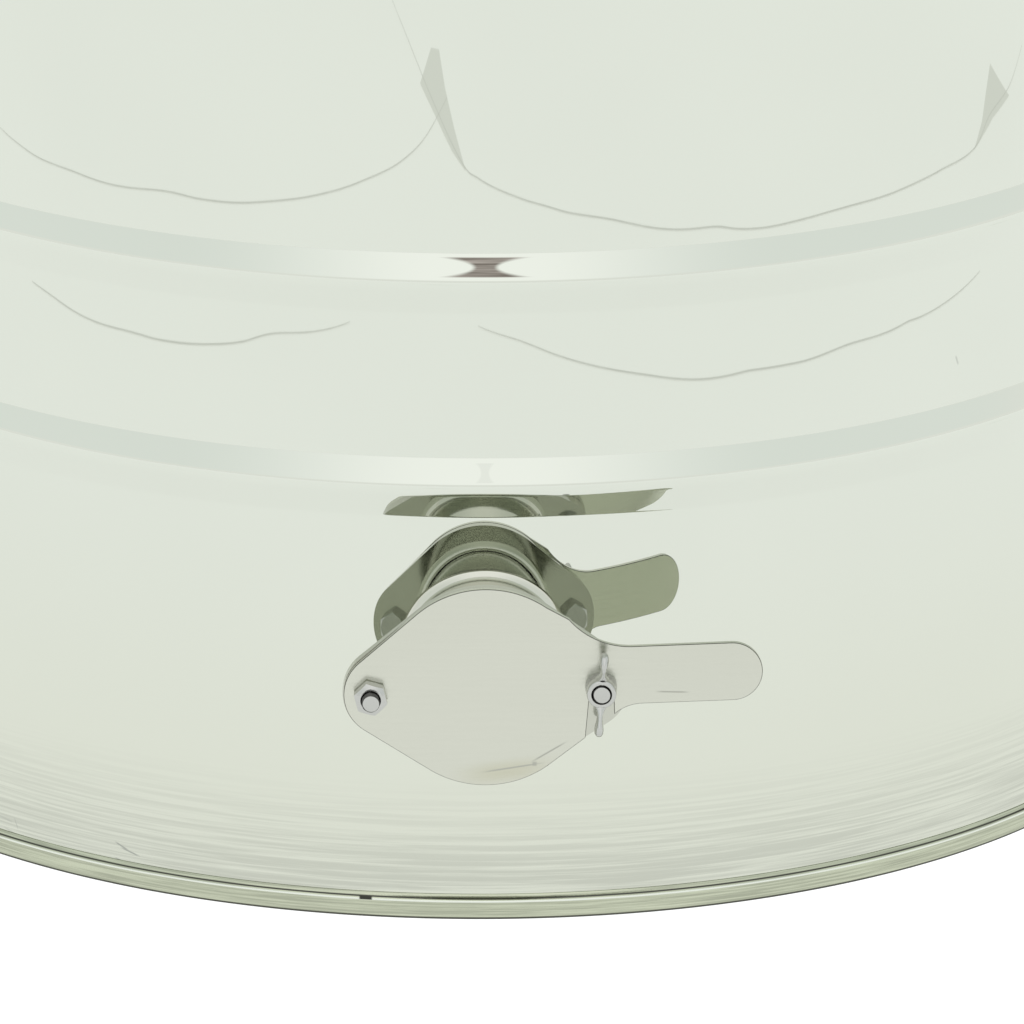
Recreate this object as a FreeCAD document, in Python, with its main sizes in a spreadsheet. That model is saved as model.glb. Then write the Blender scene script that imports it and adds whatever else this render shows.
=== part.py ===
"""Honey extractor: a stainless drum on four legs with a honey gate, a tangential
basket for four combs, a hand crank with bevel gears, and two hinged lids.

Millimetres.  The drum's axis is the Z axis, the floor is z = 0, the honey gate
faces -Y and the crank points to +X.
"""
import FreeCAD, Part
import Sketcher
import math
import os

Vec = FreeCAD.Vector
X_AXIS, Y_AXIS, Z_AXIS = Vec(1, 0, 0), Vec(0, 1, 0), Vec(0, 0, 1)

doc = FreeCAD.newDocument("HoneyExtractor")
sheet = doc.addObject("Spreadsheet::Sheet", "Sizes")
pieces = []


# ---------------------------------------------------------------- driving dimensions

class Size:
    """A number that remembers the sheet formula it comes from."""

    def __init__(self, value, formula):
        self.value = float(value)
        self.formula = formula

    def __add__(self, other):
        other = as_size(other)
        return Size(self.value + other.value, f"({self.formula} + {other.formula})")

    def __sub__(self, other):
        other = as_size(other)
        return Size(self.value - other.value, f"({self.formula} - {other.formula})")

    def __mul__(self, other):
        other = as_size(other)
        return Size(self.value * other.value, f"({self.formula} * {other.formula})")

    def __truediv__(self, other):
        other = as_size(other)
        return Size(self.value / other.value, f"({self.formula} / {other.formula})")

    def __radd__(self, other):
        return as_size(other) + self

    def __rsub__(self, other):
        return as_size(other) - self

    def __rmul__(self, other):
        return as_size(other) * self

    def __rtruediv__(self, other):
        return as_size(other) / self

    def __neg__(self):
        return Size(-self.value, f"(0 - {self.formula})")


def as_size(number):
    return number if isinstance(number, Size) else Size(number, repr(float(number)))


def root(number):
    number = as_size(number)
    return Size(math.sqrt(number.value), f"sqrt({number.formula})")


def leg_of(hypotenuse, other_leg):
    """The third side of a right triangle."""
    return root(hypotenuse * hypotenuse - other_leg * other_leg)


sheet_rows = []


def size(alias, value, meaning):
    """Write one driving dimension into the sheet and return it."""
    sheet_rows.append(alias)
    row = len(sheet_rows)
    sheet.set(f"A{row}", meaning)
    sheet.set(f"B{row}", str(value))
    sheet.setAlias(f"B{row}", alias)
    return Size(value, f"Sizes.{alias}")


# Drum
drum_radius = size("drum_radius", 250, "outer radius of the drum wall")
drum_sheet = size("drum_sheet", 1.0, "sheet of the drum wall")
drum_height = size("drum_height", 640, "height of the drum, lower rim to curled rim")
rim_height = size("rim_height", 380, "lower rim above the floor, room for a pail")
curl_radius = size("curl_radius", 5, "radius of the curled upper rim")
band_height = size("band_height", 8.7, "height of the folded band at the lower rim")
band_thick = size("band_thick", 2.0, "how far the folded band stands proud")
band_round = size("band_round", 1.2, "rounding of the folded band's outer edges")
bead_low = size("bead_low", 153.8, "middle of the lowest rolled bead above the lower rim")
bead_pitch = size("bead_pitch", 71.3, "distance between the two beads of a pair")
pair_pitch = size("pair_pitch", 300, "distance from the lower pair of beads to the upper pair")
bead_half = size("bead_half", 10.6, "half the height of a rolled bead")
bead_out = size("bead_out", 3.9, "how far a bead stands out of the wall")
bead_foot = size("bead_foot", 1.5, "radius of the foot of a bead")
floor_sheet = size("floor_sheet", 1.2, "sheet of the conical floor")
floor_rise = size("floor_rise", 38, "rise of the floor from the wall to the middle")
floor_lip = size("floor_lip", 12, "down-turned lip of the floor")
weld_gap = size("weld_gap", 0.05, "gap left between two sheets that are welded together")
seat_gap = size("seat_gap", 0.1, "gap between parts that are bolted together")
running_gap = size("running_gap", 0.3, "gap between parts that move past each other")
shaft_gap = size("shaft_gap", 0.05, "radial gap of a shaft or pin in its hole")
hole_gap = size("hole_gap", 0.2, "radial gap round a bolt in its hole")
bolt_spare = size("bolt_spare", 2, "thread of a bolt beyond its nut")
cut_over = size("cut_over", 2, "how far a cut runs past what it cuts")

# Honey gate
gate_height = size("gate_height", 96.2, "gate axis above the lower rim")
gate_tilt = size("gate_tilt", 2.2, "angle by which the gate is turned anticlockwise")
pipe_radius = size("pipe_radius", 26, "outer radius of the outlet pipe")
pipe_wall = size("pipe_wall", 1.5, "wall of the outlet pipe")
weld_leg = size("weld_leg", 3, "leg of the welds round the outlet pipe")
flange_stand = size("flange_stand", 30.3, "drum wall to the back of the gate flange")
flange_thick = size("flange_thick", 2.9, "thickness of the gate flange")
flange_round = size("flange_round", 34.0, "radius of the flange about the outlet")
flange_end = size("flange_end", 15.8, "radius of the flange's two ends")
flange_reach = size("flange_reach", 31.8, "centre of an end radius beside the outlet axis")
bolt_reach = size("bolt_reach", 38.25, "gate bolts beside the outlet axis")
bolt_drop = size("bolt_drop", 1.7, "gate bolts and end rounds below the outlet axis")
bolt_radius = size("bolt_radius", 3.0, "radius of the gate bolts")
bolt_flats = size("bolt_flats", 10.0, "width over flats of the gate bolts and nut")
bolt_head = size("bolt_head", 4.0, "height of a gate bolt's head")
bolt_out = size("bolt_out", 13.5, "end of a gate bolt from the back of the flange")
nut_thick = size("nut_thick", 5.0, "height of the pivot nut")
seal_inner = size("seal_inner", 27.4, "inner radius of the seal ring's groove")
seal_width = size("seal_width", 3.0, "width of the seal ring's groove")
seal_depth = size("seal_depth", 1.5, "depth of the seal ring's groove")
blade_thick = size("blade_thick", 2.0, "thickness of the shutter blade")
blade_round = size("blade_round", 34.5, "radius of the blade over the outlet")
blade_drop = size("blade_drop", 0.45, "centre of the blade's round below the outlet axis")
blade_end = size("blade_end", 14.9, "radius of the blade's pivot end")
blade_reach = size("blade_reach", 32.3, "centre of the pivot end beside the outlet axis")
blade_gap = size("blade_gap", 0.1, "running gap on both faces of the blade")
handle_reach = size("handle_reach", 81.9, "centre of the handle's round tip from the outlet axis")
handle_half = size("handle_half", 10.1, "half the width of the handle")
handle_rise = size("handle_rise", 2.0, "middle of the handle above the outlet axis")
handle_fillet = size("handle_fillet", 26, "upper fillet between blade and handle")
handle_nook = size("handle_nook", 14, "lower fillet between blade and handle")
slot_inner = size("slot_inner", 3.6, "slot edge from the clamp bolt, on the outlet's side")
slot_outer = size("slot_outer", 4.1, "slot edge from the clamp bolt, on the handle's side")
slot_slant = size("slot_slant", 3.2, "slant of the slot's inner edge over the slot's depth")
slot_depth = size("slot_depth", 26, "depth of the slot below the clamp bolt")
wing_boss = size("wing_boss", 5.3, "radius of the wing nut's boss")
wing_boss_high = size("wing_boss_high", 8.0, "height of the wing nut's boss")
wing_lobe = size("wing_lobe", 4.3, "radius of a wing's round lobe")
wing_reach = size("wing_reach", 10.8, "centre of a wing's lobe from the bolt axis")
wing_lift = size("wing_lift", 8.8, "centre of a wing's lobe above the foot of the nut")
wing_thick = size("wing_thick", 2.6, "thickness of a wing")
wing_root = size("wing_root", 2, "how deep a wing is rooted in the boss")
wing_inset = size("wing_inset", 1, "root of a wing inside both ends of the boss")

# Legs
leg_depth = size("leg_depth", 25, "drum wall to the outer face of a leg")
leg_half = size("leg_half", 26, "half the width of a leg beside the drum")
leg_sheet = size("leg_sheet", 2.5, "sheet of a leg")
leg_top = size("leg_top", 72, "top of a leg above the lower rim")
leg_knee = size("leg_knee", 8, "knee of a leg below the lower rim")
leg_root = size("leg_root", 3, "sides of a leg that are cut away to follow the drum")
knee_gap = size("knee_gap", 2, "gap between the folded band and a leg's lower part")
leg_splay = size("leg_splay", 45, "how far a foot stands out from the leg's upper part")
leg_foot_half = size("leg_foot_half", 20, "half the width of a leg at its foot")
leg_foot_depth = size("leg_foot_depth", 18, "depth of a leg at its foot")
foot_plate = size("foot_plate", 4, "thickness of a foot plate")
foot_tab = size("foot_tab", 34, "length of a foot plate outside its leg")
foot_hole = size("foot_hole", 4.5, "radius of the anchor hole in a foot")
foot_pad = size("foot_pad", 5, "thickness of the rubber pad under a foot")
pad_edge = size("pad_edge", 3, "rubber pad beside its foot")
leg_bolt_low = size("leg_bolt_low", 19, "lower leg bolt above the lower rim")
leg_bolt_pitch = size("leg_bolt_pitch", 30, "distance between a leg's two bolts")
leg_bolt_radius = size("leg_bolt_radius", 4.0, "radius of the leg and clamp bolts")
leg_bolt_flats = size("leg_bolt_flats", 13.0, "width over flats of the leg and clamp bolts")
leg_bolt_head = size("leg_bolt_head", 5.3, "height of a leg bolt's head")
leg_nut_thick = size("leg_nut_thick", 6.5, "height of a leg bolt's nut")

# Crossbar and drive
bar_half = size("bar_half", 45, "half the width of the crossbar")
bar_sheet = size("bar_sheet", 2, "sheet of the crossbar")
bar_side = size("bar_side", 20, "height of the crossbar's sides")
clamp_thick = size("clamp_thick", 4, "thickness of a rim clamp")
clamp_half = size("clamp_half", 20, "half the width of a rim clamp")
clamp_reach = size("clamp_reach", 30, "length of a rim clamp along the crossbar")
clamp_gap = size("clamp_gap", 0.9, "gap between a rim clamp and the end of the crossbar")
hook_gap = size("hook_gap", 1.5, "gap between a rim clamp's hook and the drum wall")
shaft_radius = size("shaft_radius", 10, "radius of the basket shaft")
bush_radius = size("bush_radius", 14, "outer radius of the basket shaft's bushes")
housing_radius = size("housing_radius", 18, "outer radius of the upper bearing housing")
housing_flange = size("housing_flange", 32, "radius of the upper bearing housing's flange")
housing_plate = size("housing_plate", 6, "thickness of the upper bearing housing's flange")
housing_drop = size("housing_drop", 24, "upper bearing housing below the crossbar's web")
housing_bolts = size("housing_bolts", 25, "housing bolts from the shaft axis")
gear_module = size("gear_module", 2, "tooth module of the bevel gears")
gear_teeth = size("gear_teeth", 40, "teeth of the crank gear")
pinion_teeth = size("pinion_teeth", 16, "teeth of the pinion on the basket shaft")
gear_backlash = size("gear_backlash", 0.35, "play between the teeth at the pitch circle")
gear_face = size("gear_face", 13, "width of the teeth along the cone")
gear_backing = size("gear_backing", 3, "metal behind the root of the teeth")
drive_rise = size("drive_rise", 62, "crank shaft axis above the crossbar's web")
pinion_hub = size("pinion_hub", 12, "radius of the pinion's hub")
pinion_bore = size("pinion_bore", 7, "radius of the pinion's bore")
pinion_seat = size("pinion_seat", 10, "foot of the pinion's hub above the crossbar's web")
gear_hub = size("gear_hub", 15, "radius of the crank gear's hub")
crank_radius = size("crank_radius", 8, "radius of the crank shaft")
crank_nose = size("crank_nose", 13, "inner end of the crank shaft from the drum axis")
inner_bracket = size("inner_bracket", 52, "middle of the inner crank bracket from the drum axis")
outer_bracket = size("outer_bracket", 190, "middle of the outer crank bracket from the drum axis")
bracket_thick = size("bracket_thick", 10, "thickness of a crank bracket")
bracket_boss = size("bracket_boss", 18, "length of a crank bracket's boss")
bracket_round = size("bracket_round", 17, "radius of a crank bracket's top")
bracket_taper = size("bracket_taper", 4, "how much a bracket widens on each side to its foot")
boss_radius = size("boss_radius", 15, "radius of a crank bracket's boss")
bracket_foot = size("bracket_foot", 15, "half the length of a crank bracket's foot")
bracket_half = size("bracket_half", 36, "half the width of a crank bracket's foot")
bracket_plate = size("bracket_plate", 5, "thickness of a crank bracket's foot")
bracket_bolts = size("bracket_bolts", 28, "bracket bolts from the crank axis")
collar_radius = size("collar_radius", 14, "radius of the crank shaft's collar")
collar_width = size("collar_width", 10, "width of the crank shaft's collar")
arm_place = size("arm_place", 46, "crank arm from the drum wall")
arm_thick = size("arm_thick", 8, "thickness of the crank arm")
arm_length = size("arm_length", 160, "length of the crank arm between its axes")
arm_hub = size("arm_hub", 18, "radius of the crank arm at the shaft")
arm_tip = size("arm_tip", 14, "radius of the crank arm at the grip")
arm_bore = size("arm_bore", 6, "radius of the crank shaft's stepped end")
crank_nut_flats = size("crank_nut_flats", 18, "width over flats of the crank's end nut")
crank_nut_thick = size("crank_nut_thick", 10, "height of the crank's end nut")
grip_length = size("grip_length", 110, "length of the crank's grip")
grip_radius = size("grip_radius", 15, "largest radius of the crank's grip")
grip_neck = size("grip_neck", 11, "radius of the grip at its ends")
grip_round = size("grip_round", 2, "rounding of the grip's ends")
pin_radius = size("pin_radius", 5, "radius of the grip's pin")
pin_head = size("pin_head", 8.5, "radius of the grip pin's heads and shoulder")
pin_rivet = size("pin_rivet", 5, "thickness of the pin's head behind the crank arm")
pin_shoulder = size("pin_shoulder", 3, "thickness of the pin's shoulder")
pin_cap = size("pin_cap", 4, "thickness of the pin's outer head")
pin_round = size("pin_round", 2, "rounding of the pin's outer head")

# Basket
cup_radius = size("cup_radius", 24, "radius of the lower bearing cup")
cup_height = size("cup_height", 30, "height of the lower bearing cup")
cup_base = size("cup_base", 8, "floor of the lower bearing cup")
cup_foot = size("cup_foot", 4, "how far the cup's foot stands out")
cup_foot_thick = size("cup_foot_thick", 3, "thickness of the cup's foot")
pan_margin = size("pan_margin", 2, "flat middle of the floor beside the cup's foot")
ball_radius = size("ball_radius", 5, "radius of the thrust ball")
basket_rise = size("basket_rise", 50, "lower plate of the basket above the top of the floor")
basket_plate = size("basket_plate", 3, "thickness of the basket's plates")
head_room = size("head_room", 34, "upper plate of the basket below the drum's curled rim")
comb_out = size("comb_out", 190, "outer screens from the basket's axis")
comb_depth = size("comb_depth", 40, "distance between outer and inner screens")
comb_half = size("comb_half", 127, "half the width of a comb pocket")
plate_edge = size("plate_edge", 4, "basket plate outside the outer screens")
plate_round = size("plate_round", 234, "radius of the basket plates' corners")
window_margin = size("window_margin", 5, "basket plate beside an upper window")
drain_margin = size("drain_margin", 12, "basket plate beside a lower drain window")
relief_radius = size("relief_radius", 45, "radius of the round windows between the combs")
hub_radius = size("hub_radius", 17, "radius of the basket's hubs")
hub_height = size("hub_height", 26, "height of the basket's hubs")
frame_bar = size("frame_bar", 10, "width of the bars round a screen")
screen_thick = size("screen_thick", 3, "thickness of a screen's bars and of its rods")
side_bar = size("side_bar", 3, "thickness of the plates beside a comb pocket")

# Lids
lid_thick = size("lid_thick", 4, "thickness of the clear lids")
lid_over = size("lid_over", 7, "lids beyond the drum wall")
lid_edge = size("lid_edge", 50, "straight edge of a lid from the middle of the crossbar")
hinge_place = size("hinge_place", 150, "lid hinges from the middle of the crossbar")
hinge_half = size("hinge_half", 25, "half the length of a hinge")
knuckle_half = size("knuckle_half", 10, "half the length of a hinge's middle knuckle")
knuckle_radius = size("knuckle_radius", 3, "radius of a hinge's knuckles")
hinge_sheet = size("hinge_sheet", 1.5, "sheet of the hinge leaves")
hinge_pin = size("hinge_pin", 1.5, "radius of a hinge pin")
leaf_length = size("leaf_length", 26, "length of the leaf on the lid")
fixed_leaf = size("fixed_leaf", 12, "height of the leaf on the crossbar")
knob_radius = size("knob_radius", 13, "radius of a lid's knob")
knob_height = size("knob_height", 34, "height of a lid's knob")
knob_neck = size("knob_neck", 7, "radius of the neck of a lid's knob")
knob_base = size("knob_base", 3, "thickness of the foot of a lid's knob")
knob_place = size("knob_place", 200, "lid knobs from the middle of the crossbar")

doc.recompute()

# Heights above the floor that several pieces share
drum_top = rim_height + drum_height
gate_axis = rim_height + gate_height
pipe_bore = pipe_radius - pipe_wall
floor_edge = gate_axis - pipe_bore - floor_sheet
floor_top = floor_edge + floor_rise
bar_low = drum_top + weld_gap
bar_web = bar_low + bar_sheet
drive_axis = bar_web + drive_rise
plate_low = floor_top + basket_rise
comb_low = plate_low + basket_plate
comb_top = drum_top - head_room
wall_inner = drum_radius - drum_sheet
leg_face = drum_radius + leg_depth
blade_back = flange_stand + flange_thick + blade_gap
blade_front = blade_back + blade_thick
pinion_foot = drive_axis - drive_rise + pinion_seat


# ---------------------------------------------------------------- building helpers

def bind(item, prop, number):
    """Give a property its number, and its formula where it has one."""
    number = as_size(number)
    if "Sizes." in number.formula:
        item.setExpression(prop, number.formula)
    else:
        setattr(item, prop, number.value)


def place(item, x=0, y=0, z=0, turn=None):
    """Turn an object and then move its origin to (x, y, z)."""
    spot = [as_size(x), as_size(y), as_size(z)]
    turn = turn or FreeCAD.Rotation()
    item.Placement = FreeCAD.Placement(Vec(*[s.value for s in spot]), turn)
    for name, number in zip("xyz", spot):
        if "Sizes." in number.formula:
            item.setExpression(f"Placement.Base.{name}", number.formula)
    return item


def about_z(degrees):
    return FreeCAD.Rotation(Z_AXIS, degrees)


def piece(item, label):
    """Name an object as one sub-part of the extractor."""
    item.Label = label
    pieces.append(item)
    return item


def new_body(label):
    return piece(doc.addObject("PartDesign::Body", "Body"), label)


def origin_feature(body, role):
    return next(f for f in body.Origin.OriginFeatures if f.Role == role)


def sketch_on(body, plane, offset=0, turn=0):
    """An empty sketch on one of the body's own planes, moved along its normal.

    turn swings the plane about the sketch's own upright axis, in degrees.
    """
    sketch = body.newObject("Sketcher::SketchObject", "Sketch")
    sketch.AttachmentSupport = [(origin_feature(body, plane), "")]
    sketch.MapMode = "FlatFace"
    offset = as_size(offset)
    sketch.AttachmentOffset = FreeCAD.Placement(Vec(0, 0, offset.value),
                                                FreeCAD.Rotation(Y_AXIS, turn))
    if "Sizes." in offset.formula:
        sketch.setExpression("AttachmentOffset.Base.z", offset.formula)
    return sketch


def pin_point(sketch, curve, point, kind, number):
    """Fix one coordinate of a sketch point from the sketch's origin."""
    number = as_size(number)
    constraint = Sketcher.Constraint(kind, -1, 1, curve, point, number.value)
    index = sketch.addConstraint(constraint)
    if "Sizes." in number.formula:
        sketch.setExpression(f"Constraints[{index}]", number.formula)


def outline(sketch, steps):
    """Draw a closed outline.

    A step (x, y) is a straight line to that point.  A step (x, y, turn, kind, c)
    is an arc to that point, turn +1 anticlockwise or -1 clockwise, whose centre
    has the x (kind "x") or the y (kind "y") given by c.
    """
    first = sketch.GeometryCount
    points = [(as_size(step[0]), as_size(step[1])) for step in steps]
    ends = []
    for k, step in enumerate(steps):
        start = Vec(points[k - 1][0].value, points[k - 1][1].value, 0)
        end = Vec(points[k][0].value, points[k][1].value, 0)
        if len(step) == 2:
            sketch.addGeometry(Part.LineSegment(start, end))
            ends.append((1, 2))
            continue
        turn, kind, given = step[2], step[3], as_size(step[4]).value
        middle = (start + end) * 0.5
        across = end - start
        if kind == "x":
            along = (given - middle.x) / -across.y
        else:
            along = (given - middle.y) / across.x
        centre = middle + Vec(-across.y, across.x, 0) * along
        from_angle = math.atan2(start.y - centre.y, start.x - centre.x)
        to_angle = math.atan2(end.y - centre.y, end.x - centre.x)
        if turn < 0:
            from_angle, to_angle = to_angle, from_angle
        circle = Part.Circle(centre, Z_AXIS, (start - centre).Length)
        sketch.addGeometry(Part.ArcOfCircle(circle, from_angle, to_angle))
        ends.append((1, 2) if turn > 0 else (2, 1))
    for k in range(len(steps)):
        after = (k + 1) % len(steps)
        sketch.addConstraint(Sketcher.Constraint(
            "Coincident", first + k, ends[k][1], first + after, ends[after][0]))
    for k, step in enumerate(steps):
        pin_point(sketch, first + k, ends[k][1], "DistanceX", points[k][0])
        pin_point(sketch, first + k, ends[k][1], "DistanceY", points[k][1])
        if len(step) > 2:
            kind = "DistanceX" if step[3] == "x" else "DistanceY"
            pin_point(sketch, first + k, 3, kind, step[4])
    return sketch


def rectangle(sketch, x_low, x_high, y_low, y_high):
    return outline(sketch, [(x_low, y_low), (x_high, y_low), (x_high, y_high), (x_low, y_high)])


def circle(sketch, radius, x=0, y=0):
    """Draw a circle at (x, y)."""
    radius = as_size(radius)
    spot = Vec(as_size(x).value, as_size(y).value, 0)
    curve = sketch.addGeometry(Part.Circle(spot, Z_AXIS, radius.value))
    pin_point(sketch, curve, 3, "DistanceX", x)
    pin_point(sketch, curve, 3, "DistanceY", y)
    index = sketch.addConstraint(Sketcher.Constraint("Radius", curve, radius.value))
    if "Sizes." in radius.formula:
        sketch.setExpression(f"Constraints[{index}]", radius.formula)
    return sketch


def pad(body, sketch, length, both_ways=False, back=False):
    feature = body.newObject("PartDesign::Pad", "Pad")
    feature.Profile = sketch
    bind(feature, "Length", length)
    if both_ways:
        feature.SideType = "Symmetric"
    feature.Reversed = back
    return feature


def pocket(body, sketch, depth, back=False, both_ways=False):
    """Cut against the sketch's normal, or along it where back is set."""
    feature = body.newObject("PartDesign::Pocket", "Pocket")
    feature.Profile = sketch
    bind(feature, "Length", depth)
    if both_ways:
        feature.SideType = "Symmetric"
    feature.Reversed = back
    return feature


def revolve(body, sketch, axis="V_Axis"):
    feature = body.newObject("PartDesign::Revolution", "Revolution")
    feature.Profile = sketch
    feature.ReferenceAxis = (sketch, [axis])
    feature.Angle = 360
    return feature


def polar(body, feature, count):
    """Repeat a feature round the body's Z axis."""
    pattern = body.newObject("PartDesign::PolarPattern", "PolarPattern")
    pattern.Originals = [feature]
    pattern.Axis = (origin_feature(body, "Z_Axis"), [""])
    pattern.Angle = 360
    pattern.Occurrences = count
    body.Tip = pattern
    return pattern


def row_of(body, feature, axis, length, count):
    """Repeat a feature along one of the body's axes, over a length."""
    pattern = body.newObject("PartDesign::LinearPattern", "LinearPattern")
    pattern.Originals = [feature]
    pattern.Direction = (origin_feature(body, axis), [""])
    bind(pattern, "Length", length)
    pattern.Occurrences = count
    body.Tip = pattern
    return pattern


def cylinder(radius, height, x=0, y=0, z=0, turn=None):
    item = doc.addObject("Part::Cylinder", "Cylinder")
    bind(item, "Radius", radius)
    bind(item, "Height", height)
    return place(item, x, y, z, turn)


def box(x_low, x_high, y_low, y_high, z_low, z_high):
    item = doc.addObject("Part::Box", "Box")
    bind(item, "Length", x_high - x_low)
    bind(item, "Width", y_high - y_low)
    bind(item, "Height", z_high - z_low)
    return place(item, x_low, y_low, z_low)


def hexagon(flats, height, x=0, y=0, z=0, turn=None):
    """A hexagonal prism, as on a bolt head or a nut."""
    item = doc.addObject("Part::Prism", "Prism")
    item.Polygon = 6
    bind(item, "Circumradius", flats / math.sqrt(3))
    bind(item, "Height", height)
    return place(item, x, y, z, turn)


def cut(base, tool):
    item = doc.addObject("Part::Cut", "Cut")
    item.Base = base
    item.Tool = tool
    return item


def fuse(*shapes):
    item = doc.addObject("Part::MultiFuse", "Fuse")
    item.Shapes = list(shapes)
    item.Refine = True
    return item


def group(*items):
    """Several solids that make one sub-part."""
    item = doc.addObject("Part::Compound", "Group")
    item.Links = list(items)
    return item


TO_X = FreeCAD.Rotation(Y_AXIS, 90)


def bolt(radius, flats, head, length):
    """A hexagon bolt: its head above z = 0, its shank below."""
    return fuse(hexagon(flats, head), cylinder(radius, length, z=-length))


def nut(radius, flats, thick):
    """A hexagon nut from z = 0 upwards."""
    return cut(hexagon(flats, thick), cylinder(radius + shaft_gap, thick))


# ---------------------------------------------------------------- drum

def bead_steps(middle, inside):
    """The outline of one rolled bead, upwards on the outside, downwards on the inside."""
    crown_and_foot = (bead_out * bead_out + bead_half * bead_half) / (bead_out * 2)
    crown = crown_and_foot - bead_foot
    centre = drum_radius + bead_out - crown
    sheet_in = drum_sheet if inside else as_size(0)
    share = (crown - sheet_in) / crown_and_foot
    side_x = centre + (drum_radius + bead_foot - centre) * share
    side_z = bead_half * share
    wall = drum_radius - sheet_in
    foot_x = drum_radius + bead_foot
    if inside:
        return [(wall, middle + bead_half),
                (side_x, middle + side_z, 1, "x", foot_x),
                (side_x, middle - side_z, -1, "x", centre),
                (wall, middle - bead_half, 1, "x", foot_x)]
    return [(wall, middle - bead_half),
            (side_x, middle - side_z, -1, "x", foot_x),
            (side_x, middle + side_z, 1, "x", centre),
            (wall, middle + bead_half, -1, "x", foot_x)]


def make_drum():
    middles = [rim_height + bead_low + bead_pitch * n + pair_pitch * pair
               for pair in (0, 1) for n in (0, 1)]
    curl_centre = drum_radius - drum_sheet + curl_radius
    curl_height = drum_top - curl_radius
    steps = [(wall_inner, rim_height), (drum_radius, rim_height)]
    for middle in middles:
        steps += bead_steps(middle, False)
    steps += [(drum_radius, curl_height),
              (curl_centre, curl_height - curl_radius + drum_sheet, -1, "x", curl_centre),
              (curl_centre, curl_height - curl_radius),
              (wall_inner, curl_height, 1, "x", curl_centre)]
    for middle in reversed(middles):
        steps += bead_steps(middle, True)
    body = new_body("drum_wall")
    revolve(body, outline(sketch_on(body, "XZ_Plane"), steps))
    hole = circle(sketch_on(body, "XZ_Plane"), pipe_radius + weld_gap, 0, gate_axis)
    pocket(body, hole, drum_radius + bead_out, back=True)
    for angle in LEG_ANGLES:
        holes = sketch_on(body, "YZ_Plane", turn=angle)
        for step in (0, 1):
            circle(holes, leg_bolt_radius + hole_gap, 0,
                   rim_height + leg_bolt_low + leg_bolt_pitch * step)
        pocket(body, holes, drum_radius + bead_out, back=True)

    band = new_body("rim_band")
    inner = drum_radius + weld_gap
    outer = drum_radius + band_thick
    high = rim_height + band_height
    revolve(band, outline(sketch_on(band, "XZ_Plane"), [
        (inner, rim_height),
        (outer - band_round, rim_height),
        (outer, rim_height + band_round, 1, "x", outer - band_round),
        (outer, high - band_round),
        (outer - band_round, high, 1, "x", outer - band_round),
        (inner, high)]))

    pan = new_body("floor_pan")
    edge = wall_inner - weld_gap
    flat = cup_radius + cup_foot + pan_margin
    revolve(pan, outline(sketch_on(pan, "XZ_Plane"), [
        (0, floor_top), (0, floor_top - floor_sheet), (flat, floor_top - floor_sheet),
        (edge - floor_sheet, floor_edge - floor_sheet),
        (edge - floor_sheet, floor_edge - floor_lip),
        (edge, floor_edge - floor_lip), (edge, floor_edge), (flat, floor_top)]))


# ---------------------------------------------------------------- honey gate

def at_gate(item):
    """Stand an object on the drum wall: its Z points out of the wall, its Y up."""
    upright = FreeCAD.Rotation(X_AXIS, 90) * about_z(gate_tilt.value)
    return place(item, 0, -drum_radius, gate_axis, upright)


def tangent(middle, end, reach, drop, side):
    """Unit normal of a line that touches a middle round and an end round.

    The end round lies reach to the right and drop below.  side is 1 for the line
    above both rounds and -1 for the line below them.
    """
    span = root(reach * reach + drop * drop)
    lean = (middle - end) / span
    rise = leg_of(as_size(1), lean) * side
    return (reach * lean + drop * rise) / span, (reach * rise - drop * lean) / span


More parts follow.
